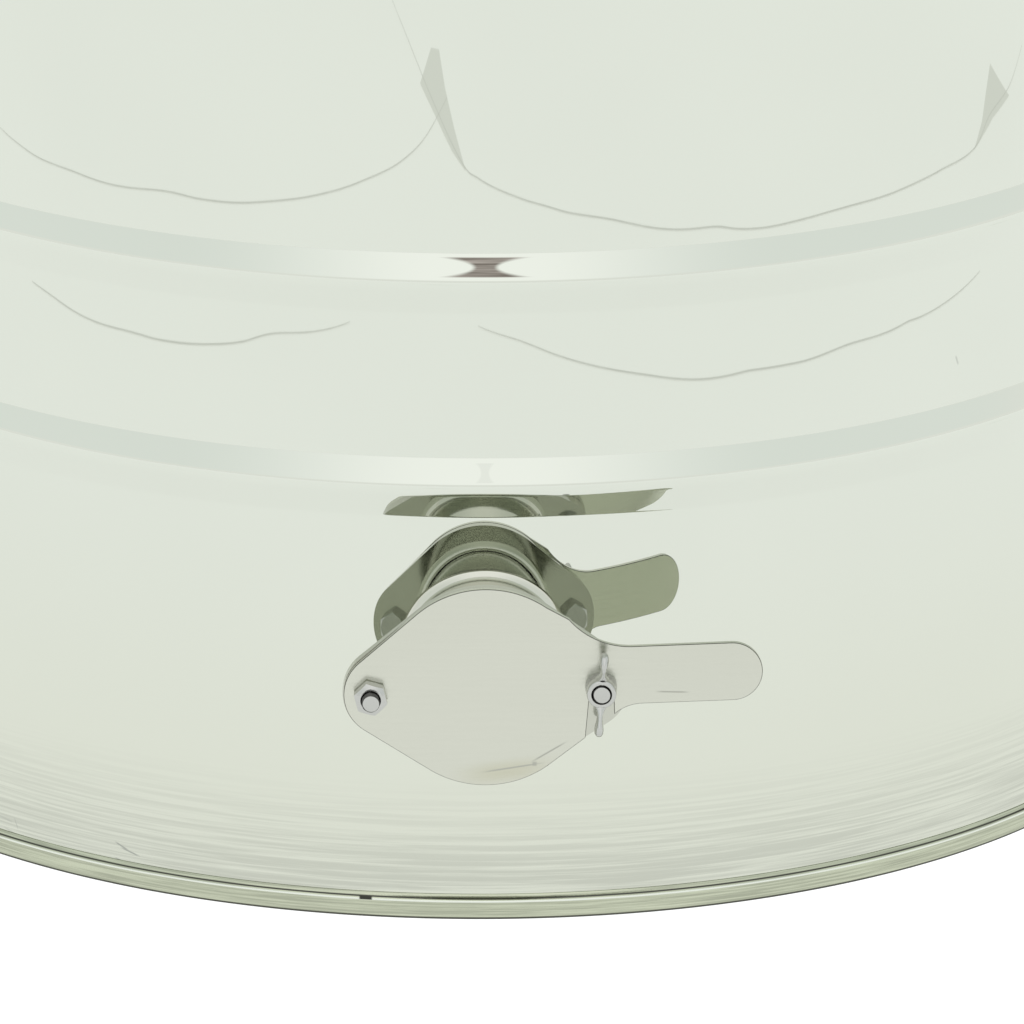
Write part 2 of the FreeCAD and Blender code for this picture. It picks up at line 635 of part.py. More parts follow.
def make_gate():
    pipe = new_body("gate_pipe")
    rings = circle(sketch_on(pipe, "XY_Plane", -drum_sheet), pipe_radius)
    circle(rings, pipe_bore)
    pad(pipe, rings, flange_stand + flange_thick - seat_gap + drum_sheet)
    at_gate(pipe)

    weld = doc.addObject("Part::Cone", "WeldCone")
    bind(weld, "Radius1", pipe_radius + weld_leg + cut_over)
    bind(weld, "Radius2", pipe_radius)
    bind(weld, "Height", weld_leg + cut_over)
    at_gate(weld)
    bind(weld, "Placement.Base.y", cut_over - drum_radius)
    core = at_gate(cylinder(pipe_radius + weld_gap, flange_stand + cut_over * 3))
    bind(core, "Placement.Base.y", cut_over * 2 - drum_radius)
    drum = cylinder(drum_radius + weld_gap, gate_axis * 2)
    behind = doc.addObject("Part::Cone", "WeldCone")
    bind(behind, "Radius1", pipe_radius)
    bind(behind, "Radius2", pipe_radius + weld_leg)
    bind(behind, "Height", weld_leg)
    at_gate(behind)
    bind(behind, "Placement.Base.y", weld_leg + weld_gap - flange_stand - drum_radius)
    piece(group(cut(cut(weld, core), drum), cut(behind, core)), "gate_weld")

    flange = new_body("gate_flange")
    up_x, up_y = tangent(flange_round, flange_end, flange_reach, bolt_drop, 1)
    low_x, low_y = tangent(flange_round, flange_end, flange_reach, bolt_drop, -1)
    plate = outline(sketch_on(flange, "XY_Plane", flange_stand), [
        (flange_reach + flange_end * up_x, flange_end * up_y - bolt_drop, 1, "x", flange_reach),
        (flange_round * up_x, flange_round * up_y),
        (-flange_round * up_x, flange_round * up_y, 1, "y", 0),
        (-flange_reach - flange_end * up_x, flange_end * up_y - bolt_drop),
        (-flange_reach - flange_end * low_x, flange_end * low_y - bolt_drop, 1, "x",
         -flange_reach),
        (-flange_round * low_x, flange_round * low_y),
        (flange_round * low_x, flange_round * low_y, 1, "y", 0),
        (flange_reach + flange_end * low_x, flange_end * low_y - bolt_drop)])
    circle(plate, pipe_radius + weld_gap)
    for side in (-1, 1):
        circle(plate, bolt_radius + shaft_gap, bolt_reach * side, -bolt_drop)
    pad(flange, plate, flange_thick)
    groove = circle(sketch_on(flange, "XY_Plane", flange_stand + flange_thick), seal_inner)
    circle(groove, seal_inner + seal_width)
    pocket(flange, groove, seal_depth)
    at_gate(flange)

    seal = new_body("gate_seal")
    ring = sketch_on(seal, "XY_Plane", flange_stand + flange_thick - seal_depth)
    circle(ring, seal_inner + weld_gap)
    circle(ring, seal_inner + seal_width - weld_gap)
    pad(seal, ring, seal_depth)
    at_gate(seal)

    make_blade()

    bolts = []
    for side in (-1, 1):
        head = hexagon(bolt_flats, bolt_head, bolt_reach * side, -bolt_drop,
                       flange_stand - bolt_head)
        shank = cylinder(bolt_radius, bolt_out + bolt_head, bolt_reach * side, -bolt_drop,
                         flange_stand - bolt_head)
        bolts.append(fuse(head, shank))
    piece(at_gate(group(*bolts)), "gate_bolts")

    pivot_nut = nut(bolt_radius, bolt_flats, nut_thick)
    place(pivot_nut, -bolt_reach, -bolt_drop, blade_front + blade_gap)
    piece(at_gate(group(pivot_nut)), "pivot_nut")
    make_wing_nut()


def make_blade():
    lean, rise = tangent(blade_round, blade_end, blade_reach, as_size(0), 1)
    end_drop = bolt_drop - blade_drop
    up_x, up_y = tangent(blade_round, blade_end, blade_reach, end_drop, 1)
    low_x, low_y = tangent(blade_round, blade_end, blade_reach, end_drop, -1)
    turn_in = (1 - rise) / lean
    handle_top = handle_rise + handle_half
    handle_low = handle_rise - handle_half
    top_corner = (blade_round - (handle_top + blade_drop) * rise) / lean
    low_corner = (blade_round + (handle_low + blade_drop) * rise) / lean
    top_run = handle_fillet * turn_in
    low_run = handle_nook * turn_in
    body = new_body("gate_blade")
    plate = outline(sketch_on(body, "XY_Plane", blade_back), [
        (handle_reach, handle_low),
        (handle_reach, handle_top, 1, "x", handle_reach),
        (top_corner + top_run, handle_top),
        (top_corner - top_run * rise, handle_top + top_run * lean, -1, "x", top_corner + top_run),
        (blade_round * lean, blade_round * rise - blade_drop),
        (-blade_round * up_x, blade_round * up_y - blade_drop, 1, "y", -blade_drop),
        (-blade_reach - blade_end * up_x, blade_end * up_y - bolt_drop),
        (-blade_reach - blade_end * low_x, blade_end * low_y - bolt_drop, 1, "x", -blade_reach),
        (-blade_round * low_x, blade_round * low_y - blade_drop),
        (blade_round * lean, -blade_round * rise - blade_drop, 1, "y", -blade_drop),
        (low_corner - low_run * rise, handle_low - low_run * lean),
        (low_corner + low_run, handle_low, -1, "x", low_corner + low_run)])
    circle(plate, bolt_radius + shaft_gap, -bolt_reach, -bolt_drop)
    pad(body, plate, blade_thick)
    slot = outline(sketch_on(body, "XY_Plane", blade_front), [
        (bolt_reach - slot_inner, -bolt_drop, 1, "y", -bolt_drop),
        (bolt_reach - slot_inner - slot_slant, -bolt_drop - slot_depth),
        (bolt_reach + slot_outer, -bolt_drop - slot_depth),
        (bolt_reach + slot_outer, -bolt_drop)])
    pocket(body, slot, blade_thick)
    at_gate(body)


def make_wing_nut():
    body = new_body("wing_nut")
    foot = blade_front + blade_gap
    boss = circle(sketch_on(body, "XY_Plane", foot), wing_boss)
    pad(body, boss, wing_boss_high)
    wings = sketch_on(body, "YZ_Plane")
    lobe = foot + wing_lift
    inner = wing_boss - wing_root
    for side in (-1, 1):
        outline(wings, [
            (inner * side, foot + wing_inset),
            (wing_reach * side, lobe - wing_lobe),
            (wing_reach * side, lobe + wing_lobe, side, "x", wing_reach * side),
            (inner * side, foot + wing_boss_high - wing_inset)])
    pad(body, wings, wing_thick, both_ways=True)
    bore = circle(sketch_on(body, "XY_Plane", foot), bolt_radius + shaft_gap)
    pocket(body, bore, wing_boss_high * 2, back=True)
    upright = FreeCAD.Rotation(X_AXIS, 90) * about_z(gate_tilt.value)
    tilt = math.radians(gate_tilt.value)
    place(body, bolt_reach * math.cos(tilt) + bolt_drop * math.sin(tilt), -drum_radius,
          gate_axis + bolt_reach * math.sin(tilt) - bolt_drop * math.cos(tilt), upright)


# ---------------------------------------------------------------- legs

LEG_ANGLES = (-27, 27, 153, 207)
leg_fasteners = []


def channel(sketch, root_x, face, half):
    """A channel section that is open towards the drum."""
    return outline(sketch, [
        (root_x, -half), (face, -half), (face, half), (root_x, half),
        (root_x, half - leg_sheet), (face - leg_sheet, half - leg_sheet),
        (face - leg_sheet, leg_sheet - half), (root_x, leg_sheet - half)])


def make_leg(number, angle):
    turn = about_z(angle)
    knee = rim_height - leg_knee
    foot_low = foot_pad + seat_gap
    foot_face = leg_face + leg_splay
    hole_x = foot_face + foot_tab / 2
    body = new_body(f"leg_{number}")
    pad(body, channel(sketch_on(body, "XY_Plane", knee), drum_radius - leg_root, leg_face,
                      leg_half), leg_knee + leg_top)
    saddle = circle(sketch_on(body, "XY_Plane", rim_height + leg_top + cut_over),
                    drum_radius + seat_gap)
    pocket(body, saddle, leg_knee + leg_top + cut_over * 2)
    relief = circle(sketch_on(body, "XY_Plane", rim_height + band_height + running_gap),
                    drum_radius + band_thick + running_gap)
    pocket(body, relief, leg_knee + band_height + running_gap + cut_over)
    upper = channel(sketch_on(body, "XY_Plane", knee), drum_radius + band_thick + knee_gap,
                    leg_face, leg_half)
    lower = channel(sketch_on(body, "XY_Plane", foot_low), foot_face - leg_foot_depth,
                    foot_face, leg_foot_half)
    shank = body.newObject("PartDesign::AdditiveLoft", "Loft")
    shank.Profile = upper
    shank.Sections = [lower]
    shank.Ruled = True
    tab = rectangle(sketch_on(body, "XY_Plane", foot_low), foot_face - leg_foot_depth,
                    foot_face + foot_tab, -leg_foot_half, leg_foot_half)
    pad(body, tab, foot_plate)
    anchor = circle(sketch_on(body, "XY_Plane", foot_low), foot_hole, hole_x)
    pocket(body, anchor, foot_plate + cut_over, back=True)
    holes = sketch_on(body, "YZ_Plane", leg_face)
    for step in (0, 1):
        circle(holes, leg_bolt_radius + hole_gap, 0,
               rim_height + leg_bolt_low + leg_bolt_pitch * step)
    pocket(body, holes, leg_depth)
    place(body, turn=turn)

    fasteners = []
    for step in (0, 1):
        level = rim_height + leg_bolt_low + leg_bolt_pitch * step
        screw = bolt(leg_bolt_radius, leg_bolt_flats, leg_bolt_head,
                     leg_depth + drum_sheet + leg_nut_thick + bolt_spare)
        fasteners.append(place(screw, leg_face + seat_gap, 0, level, TO_X))
        holder = nut(leg_bolt_radius, leg_bolt_flats, leg_nut_thick)
        fasteners.append(place(holder, wall_inner - leg_nut_thick - seat_gap * 2, 0, level, TO_X))
    leg_fasteners.append(place(group(*fasteners), turn=turn))

    rubber = new_body(f"foot_pad_{number}")
    half = leg_foot_half + pad_edge
    sole = rectangle(sketch_on(rubber, "XY_Plane"), foot_face - leg_foot_depth - pad_edge,
                     foot_face + foot_tab + pad_edge, -half, half)
    circle(sole, foot_hole, hole_x)
    pad(rubber, sole, foot_pad)
    place(rubber, turn=turn)


# ---------------------------------------------------------------- crossbar and bearings

crossbar_fasteners = []


def make_crossbar():
    body = new_body("crossbar")
    inner = bar_half - bar_sheet
    high = bar_web + bar_side
    section = outline(sketch_on(body, "YZ_Plane"), [
        (-bar_half, bar_low), (bar_half, bar_low), (bar_half, high), (inner, high),
        (inner, bar_web), (-inner, bar_web), (-inner, high), (-bar_half, high)])
    pad(body, section, (wall_inner + curl_radius * 2) * 2, both_ways=True)
    holes = circle(sketch_on(body, "XY_Plane", bar_web), housing_radius + running_gap)
    for side in (-1, 1):
        circle(holes, leg_bolt_radius + hole_gap, clamp_bolt_place() * side)
        for row in (-1, 1):
            circle(holes, bolt_radius + hole_gap, diagonal_bolt() * side, diagonal_bolt() * row)
    for middle in (inner_bracket, outer_bracket):
        for side in (-1, 1):
            circle(holes, bolt_radius + hole_gap, middle, bracket_bolts * side)
    pocket(body, holes, bar_sheet)


def clamp_bolt_place():
    return drum_radius - clamp_reach / 2


def diagonal_bolt():
    return housing_bolts / math.sqrt(2)


def make_clamps():
    curl_low = drum_top - curl_radius * 2
    bar_end = wall_inner + curl_radius * 2
    for number, turn in ((1, about_z(0)), (2, about_z(180))):
        body = new_body(f"rim_clamp_{number}")
        inside = bar_end + clamp_gap
        outside = inside + clamp_thick
        low = curl_low - running_gap
        high = bar_web + seat_gap
        profile = outline(sketch_on(body, "XZ_Plane"), [
            (drum_radius - clamp_reach, high), (inside, high), (inside, low),
            (drum_radius + hook_gap, low), (drum_radius + hook_gap, low - clamp_thick),
            (outside, low - clamp_thick), (outside, high + clamp_thick),
            (drum_radius - clamp_reach, high + clamp_thick)])
        pad(body, profile, clamp_half * 2, both_ways=True)
        hole = circle(sketch_on(body, "XY_Plane", high), leg_bolt_radius + hole_gap,
                      clamp_bolt_place())
        pocket(body, hole, clamp_thick, back=True)
        place(body, turn=turn)
    for side in (-1, 1):
        seat = bar_web + seat_gap * 2 + clamp_thick
        screw = bolt(leg_bolt_radius, leg_bolt_flats, leg_bolt_head,
                     clamp_thick + bar_sheet + leg_nut_thick + bolt_spare)
        holder = nut(leg_bolt_radius, leg_bolt_flats, leg_nut_thick)
        crossbar_fasteners.append(place(screw, clamp_bolt_place() * side, 0, seat))
        crossbar_fasteners.append(place(holder, clamp_bolt_place() * side, 0,
                                        bar_low - seat_gap - leg_nut_thick))


def small_fastener(x, y, seat, grip):
    """A small bolt with its head on seat and its nut under the crossbar."""
    screw = bolt(bolt_radius, bolt_flats, bolt_head, grip + nut_thick + bolt_spare)
    holder = nut(bolt_radius, bolt_flats, nut_thick)
    crossbar_fasteners.append(place(screw, x, y, seat + seat_gap))
    crossbar_fasteners.append(place(holder, x, y, bar_low - seat_gap - nut_thick))


def make_top_bearing():
    housing = new_body("top_housing")
    seat = bar_web + seat_gap
    revolve(housing, outline(sketch_on(housing, "XZ_Plane"), [
        (bush_radius + weld_gap, bar_low - housing_drop), (housing_radius, bar_low - housing_drop),
        (housing_radius, seat), (housing_flange, seat),
        (housing_flange, seat + housing_plate), (bush_radius + weld_gap, seat + housing_plate)]))
    holes = sketch_on(housing, "XY_Plane", seat + housing_plate)
    for side in (-1, 1):
        for row in (-1, 1):
            circle(holes, bolt_radius + hole_gap, diagonal_bolt() * side, diagonal_bolt() * row)
            small_fastener(diagonal_bolt() * side, diagonal_bolt() * row,
                           seat + housing_plate, housing_plate + bar_sheet)
    pocket(housing, holes, housing_plate)

    bush = new_body("top_bush")
    ring = circle(sketch_on(bush, "XY_Plane", bar_low - housing_drop), bush_radius)
    circle(ring, shaft_radius + shaft_gap)
    pad(bush, ring, housing_drop + bar_sheet + housing_plate)


def make_bracket(label, middle):
    body = new_body(label)
    seat = bar_web + seat_gap
    foot = rectangle(sketch_on(body, "XY_Plane", seat), middle - bracket_foot,
                     middle + bracket_foot, -bracket_half, bracket_half)
    for side in (-1, 1):
        circle(foot, bolt_radius + hole_gap, middle, bracket_bolts * side)
    pad(body, foot, bracket_plate)
    wide = bracket_round + bracket_taper
    upright = outline(sketch_on(body, "YZ_Plane", middle), [
        (-wide, seat), (wide, seat), (bracket_round, drive_axis),
        (-bracket_round, drive_axis, 1, "y", drive_axis)])
    pad(body, upright, bracket_thick, both_ways=True)
    boss = circle(sketch_on(body, "YZ_Plane", middle), boss_radius, 0, drive_axis)
    pad(body, boss, bracket_boss, both_ways=True)
    bore = circle(sketch_on(body, "YZ_Plane", middle), crank_radius + shaft_gap, 0, drive_axis)
    pocket(body, bore, bracket_boss + cut_over, both_ways=True)


def make_brackets():
    for label, middle in (("bracket_inner", inner_bracket), ("bracket_outer", outer_bracket)):
        make_bracket(label, middle)
        for side in (-1, 1):
            small_fastener(middle, bracket_bolts * side, bar_web + seat_gap + bracket_plate,
                           bracket_plate + bar_sheet)


def make_bottom_bearing():
    cup = new_body("bottom_cup")
    seat = floor_top + weld_gap
    foot = cup_radius + cup_foot
    revolve(cup, outline(sketch_on(cup, "XZ_Plane"), [
        (0, seat), (foot, seat), (foot, seat + cup_foot_thick), (cup_radius, seat + cup_foot_thick),
        (cup_radius, seat + cup_height), (bush_radius + weld_gap, seat + cup_height),
        (bush_radius + weld_gap, seat + cup_base), (0, seat + cup_base)]))
    bush = new_body("bottom_bush")
    ring = circle(sketch_on(bush, "XY_Plane", seat + cup_base + weld_gap), bush_radius)
    circle(ring, shaft_radius + shaft_gap)
    pad(bush, ring, cup_height - cup_base - weld_gap)
    ball = doc.addObject("Part::Sphere", "Ball")
    bind(ball, "Radius", ball_radius)
    piece(place(ball, 0, 0, ball_centre()), "thrust_ball")


def ball_centre():
    return floor_top + weld_gap * 2 + cup_base + ball_radius


# ---------------------------------------------------------------- bevel gears

PRESSURE_ANGLE = math.radians(20)
ADDENDUM = 1.0      # tip of a tooth above the pitch circle, in modules
DEDENDUM = 1.25     # root of a tooth below the pitch circle, in modules
FLANK_LEVELS = (-DEDENDUM, -0.9, -0.3, 0.35, ADDENDUM)


def tooth_flank(teeth, pitch_angle):
    """Half a tooth as (scale towards the rim, angle) pairs, root to tip.

    The involute of the equivalent spur gear on the back cone, each point carried
    along the line through the cones' common apex.
    """
    module = gear_module.value
    pitch_radius = module * teeth / 2
    virtual = pitch_radius / math.cos(pitch_angle)
    base = virtual * math.cos(PRESSURE_ANGLE)
    half_pitch = (math.pi * module / 2 - gear_backlash.value) / (2 * virtual)
    involute = math.tan(PRESSURE_ANGLE) - PRESSURE_ANGLE
    flank = []
    for level in FLANK_LEVELS:
        height = level * module
        radius = virtual + height
        slope = math.acos(min(1.0, base / radius))
        half = half_pitch + involute - (math.tan(slope) - slope)
        flank.append((pitch_radius + height * math.cos(pitch_angle),
                      pitch_radius / math.tan(pitch_angle) - height * math.sin(pitch_angle),
                      half / math.cos(pitch_angle)))
    return flank


def toothed_cone(teeth, pitch_angle, phase, low, high):
    """A cone of teeth through the apex at the origin, from z = low to z = high."""
    flank = tooth_flank(teeth, pitch_angle)
    rings = []
    for level in (low, high):
        ring = []
        for tooth in range(teeth):
            centre = phase + 2 * math.pi * tooth / teeth
            half = [(r * level / z, -angle) for r, z, angle in flank]
            half += [(r * level / z, angle) for r, z, angle in reversed(flank)]
            for radius, angle in half:
                ring.append(Vec(radius * math.cos(centre + angle),
                                radius * math.sin(centre + angle), level))
        rings.append(ring)
    faces = []
    count = len(rings[0])
    for ring in rings:
        faces.append(Part.Face(Part.makePolygon(ring + ring[:1])))
    for k in range(count):
        after = (k + 1) % count
        corners = [rings[0][k], rings[0][after], rings[1][after], rings[1][k], rings[0][k]]
        faces.append(Part.Face(Part.makePolygon(corners)))
    solid = Part.Solid(Part.Shell(faces))
    if solid.Volume < 0:
        solid.reverse()
    return solid


def bevel_gear(teeth, mate, phase, hub, hub_end, bore):
    """A bevel gear: apex at the origin, axis Z, back of the gear at larger z."""
    module = gear_module.value
    pitch_angle = math.atan2(teeth, mate)
    sine, cosine = math.sin(pitch_angle), math.cos(pitch_angle)
    pitch_radius = module * teeth / 2
    cone = pitch_radius / sine
    small = (cone - gear_face.value) / cone

    def on_back_cone(height, scale):
        return ((pitch_radius + height * cosine) * scale,
                (cone * cosine - height * sine) * scale)

    behind = -(DEDENDUM * module + gear_backing.value)
    tip_big, tip_small = (on_back_cone(ADDENDUM * module, scale) for scale in (1, small))
    back_big, back_small = on_back_cone(behind, 1), on_back_cone(behind, small)
    front = back_small if back_small[0] > bore else (bore, tip_small[1])
    section = [(bore, front[1]), front, tip_small, tip_big, back_big,
               (bore, back_big[1])]
    points = [Vec(x, 0, z) for x, z in section]
    blank = Part.Face(Part.makePolygon(points + points[:1])).revolve(Vec(), Z_AXIS, 360)
    teeth_cone = toothed_cone(teeth, pitch_angle, phase,
                              min(z for _, z in section) - 1, max(z for _, z in section) + 1)
    gear = blank.common(teeth_cone)
    boss = Part.makeCylinder(hub, hub_end - front[1], Vec(0, 0, front[1]))
    boss = boss.cut(Part.makeCylinder(bore, hub_end * 2))
    keep = Part.makeCylinder(hub, hub_end - back_big[1] + 1, Vec(0, 0, back_big[1] - 1))
    gear = gear.fuse(boss.common(keep)).removeSplitter()
    return gear


def make_gears():
    teeth, mate = int(gear_teeth.value), int(pinion_teeth.value)
    down = FreeCAD.Rotation(X_AXIS, 180)
    hub_end = (drive_axis - pinion_foot).value
    pinion = doc.addObject("Part::Feature", "Pinion")
    pinion.Shape = bevel_gear(mate, teeth, 0, pinion_hub.value, hub_end,
                              pinion_bore.value + shaft_gap.value)
    piece(place(pinion, 0, 0, drive_axis, down), "pinion")

    hub_end = (inner_bracket - bracket_boss / 2 - running_gap).value
    half_tooth = math.pi / teeth
    gear = doc.addObject("Part::Feature", "CrankGear")
    gear.Shape = bevel_gear(teeth, mate, half_tooth, gear_hub.value, hub_end,
                            crank_radius.value + shaft_gap.value)
    piece(place(gear, 0, 0, drive_axis, TO_X), "crank_gear")


# ---------------------------------------------------------------- crank

def make_crank():
    arm_x = drum_radius + arm_place
    shaft_end = arm_x + arm_thick + crank_nut_thick + bolt_spare
    shaft = new_body("crank_shaft")
    revolve(shaft, outline(sketch_on(shaft, "XZ_Plane"), [
        (crank_nose, 0), (shaft_end, 0), (shaft_end, arm_bore), (arm_x, arm_bore),
        (arm_x, crank_radius), (crank_nose, crank_radius)]), "H_Axis")
    place(shaft, z=drive_axis)

    collar_x = outer_bracket + bracket_boss / 2 + running_gap
    collar = new_body("crank_collar")
    ring = circle(sketch_on(collar, "YZ_Plane", collar_x), collar_radius)
    circle(ring, crank_radius + shaft_gap)
    pad(collar, ring, collar_width)
    place(collar, z=drive_axis)

    arm = new_body("crank_arm")
    lean = (arm_hub - arm_tip) / arm_length
    rise = leg_of(as_size(1), lean)
    flat = outline(sketch_on(arm, "YZ_Plane", arm_x + seat_gap), [
        (arm_hub * rise, -arm_hub * lean),
        (-arm_hub * rise, -arm_hub * lean, 1, "y", 0),
        (-arm_tip * rise, -arm_length - arm_tip * lean),
        (arm_tip * rise, -arm_length - arm_tip * lean, 1, "y", -arm_length)])
    circle(flat, arm_bore + shaft_gap)
    circle(flat, pin_radius + shaft_gap, 0, -arm_length)
    pad(arm, flat, arm_thick)
    place(arm, z=drive_axis)

    end_nut = nut(arm_bore, crank_nut_flats, crank_nut_thick)
    place(end_nut, arm_x + arm_thick + seat_gap * 2, 0, drive_axis, TO_X)
    piece(group(end_nut), "crank_nut")

    shoulder = arm_x + arm_thick + seat_gap * 2
    grip_x = shoulder + pin_shoulder
    grip_end = grip_x + running_gap + grip_length
    cap = grip_end + running_gap
    cap_end = cap + pin_cap
    pin = new_body("grip_pin")
    revolve(pin, outline(sketch_on(pin, "XZ_Plane"), [
        (arm_x - pin_rivet, 0), (cap_end, 0), (cap_end, pin_head - pin_round),
        (cap_end - pin_round, pin_head, 1, "x", cap_end - pin_round),
        (cap, pin_head), (cap, pin_radius), (grip_x, pin_radius), (grip_x, pin_head),
        (shoulder, pin_head), (shoulder, pin_radius), (arm_x, pin_radius), (arm_x, pin_head),
        (arm_x - pin_rivet, pin_head)]), "H_Axis")
    place(pin, z=drive_axis - arm_length)

    grip = new_body("crank_grip")
    bore = pin_radius + shaft_gap
    start = grip_x + running_gap
    middle = start + grip_length / 2
    revolve(grip, outline(sketch_on(grip, "XZ_Plane"), [
        (start, bore), (grip_end, bore), (grip_end, grip_neck - grip_round),
        (grip_end - grip_round, grip_neck, 1, "x", grip_end - grip_round),
        (middle, grip_radius, 1, "x", middle),
        (start + grip_round, grip_neck, 1, "x", middle),
        (start, grip_neck - grip_round, 1, "x", start + grip_round)]), "H_Axis")
    place(grip, z=drive_axis - arm_length)


# ---------------------------------------------------------------- basket

COMB_ANGLES = (0, 90, 180, 270)
ROD_COLUMNS, ROD_ROWS = 5, 9


def basket_sheet(label, level, margin, hub_up):
    """A laser-cut plate of the basket with its four windows and its hub."""
    body = new_body(label)
    side = comb_out + plate_edge
    corner = leg_of(plate_round, side)
    steps = []
    for x_sign, y_sign in ((1, 1), (-1, 1), (-1, -1), (1, -1)):
        if x_sign == y_sign:
            steps += [(side * x_sign, corner * y_sign), (corner * x_sign, side * y_sign, 1, "x", 0)]
        else:
            steps += [(corner * x_sign, side * y_sign), (side * x_sign, corner * y_sign, 1, "x", 0)]
    pad(body, outline(sketch_on(body, "XY_Plane", level), steps), basket_plate)
    inner = comb_out - comb_depth
    window = rectangle(sketch_on(body, "XY_Plane", level), inner + margin, comb_out - margin,
                       margin - comb_half, comb_half - margin)
    polar(body, pocket(body, window, basket_plate, back=True), len(COMB_ANGLES))
    relief = circle(sketch_on(body, "XY_Plane", level), relief_radius, inner / 2, inner / 2)
    polar(body, pocket(body, relief, basket_plate, back=True), len(COMB_ANGLES))
    hub_level = level + basket_plate if hub_up else level - hub_height
    pad(body, circle(sketch_on(body, "XY_Plane", hub_level), hub_radius), hub_height)
    bore = circle(sketch_on(body, "XY_Plane", level - hub_height), shaft_radius + weld_gap)
    pocket(body, bore, hub_height * 3, back=True)


def make_screen(label, distance, angle):
    """A screen of crossed rods in a frame, upright at a distance from the axis."""
    body = new_body(label)
    low = comb_low + seat_gap
    high = comb_top - seat_gap
    half = comb_half - seat_gap
    frame = rectangle(sketch_on(body, "YZ_Plane", distance), -half, half, low, high)
    rectangle(frame, frame_bar - half, half - frame_bar, low + frame_bar, high - frame_bar)
    pad(body, frame, screen_thick, both_ways=True)
    rod = screen_thick / 2
    width = half * 2 - frame_bar
    height = high - low - frame_bar
    first = circle(sketch_on(body, "XY_Plane", low + frame_bar / 2), rod, distance - rod / 2,
                   width / (ROD_COLUMNS + 1) - width / 2)
    upright = pad(body, first, height)
    row_of(body, upright, "Y_Axis", width * (ROD_COLUMNS - 1) / (ROD_COLUMNS + 1), ROD_COLUMNS)
    first = circle(sketch_on(body, "XZ_Plane"), rod, distance + rod / 2,
                   low + frame_bar / 2 + height / (ROD_ROWS + 1))
    cross = pad(body, first, width, both_ways=True)
    row_of(body, cross, "Z_Axis", height * (ROD_ROWS - 1) / (ROD_ROWS + 1), ROD_ROWS)
    place(body, turn=about_z(angle))


def make_basket():
    shaft = new_body("basket_shaft")
    bottom = ball_centre() + ball_radius + weld_gap
    nose = drive_axis - (gear_module * gear_teeth / 2 - gear_face - gear_module)
    thread = nose + seat_gap + leg_nut_thick + bolt_spare
    revolve(shaft, outline(sketch_on(shaft, "XZ_Plane"), [
        (0, bottom), (shaft_radius, bottom), (shaft_radius, pinion_foot),
        (pinion_bore, pinion_foot), (pinion_bore, nose), (leg_bolt_radius, nose),
        (leg_bolt_radius, thread), (0, thread)]))
    top_nut = nut(leg_bolt_radius, leg_bolt_flats, leg_nut_thick)
    place(top_nut, 0, 0, nose + seat_gap)
    piece(group(top_nut), "pinion_nut")

    basket_sheet("basket_plate_lower", plate_low, drain_margin, True)
    basket_sheet("basket_plate_upper", comb_top, window_margin, False)
    sides = []
    for angle in COMB_ANGLES:
        for side in (-1, 1):
            near = comb_half if side > 0 else -comb_half - side_bar
            strip = box(comb_out - comb_depth - screen_thick / 2, comb_out + screen_thick / 2,
                        near, near + side_bar, comb_low + seat_gap, comb_top - seat_gap)
            sides.append(place(group(strip), turn=about_z(angle)))
    piece(group(*sides), "pocket_sides")
    for number, angle in enumerate(COMB_ANGLES, 1):
        make_screen(f"outer_screen_{number}", comb_out, angle)
        make_screen(f"inner_screen_{number}", comb_out - comb_depth, angle)


# ---------------------------------------------------------------- lids

def hinge_axis():
    """Distance from the middle of the crossbar, and height, of a hinge pin."""
    lid_top = drum_top + running_gap + lid_thick
    return bar_half + knuckle_radius, lid_top + weld_gap + knuckle_radius


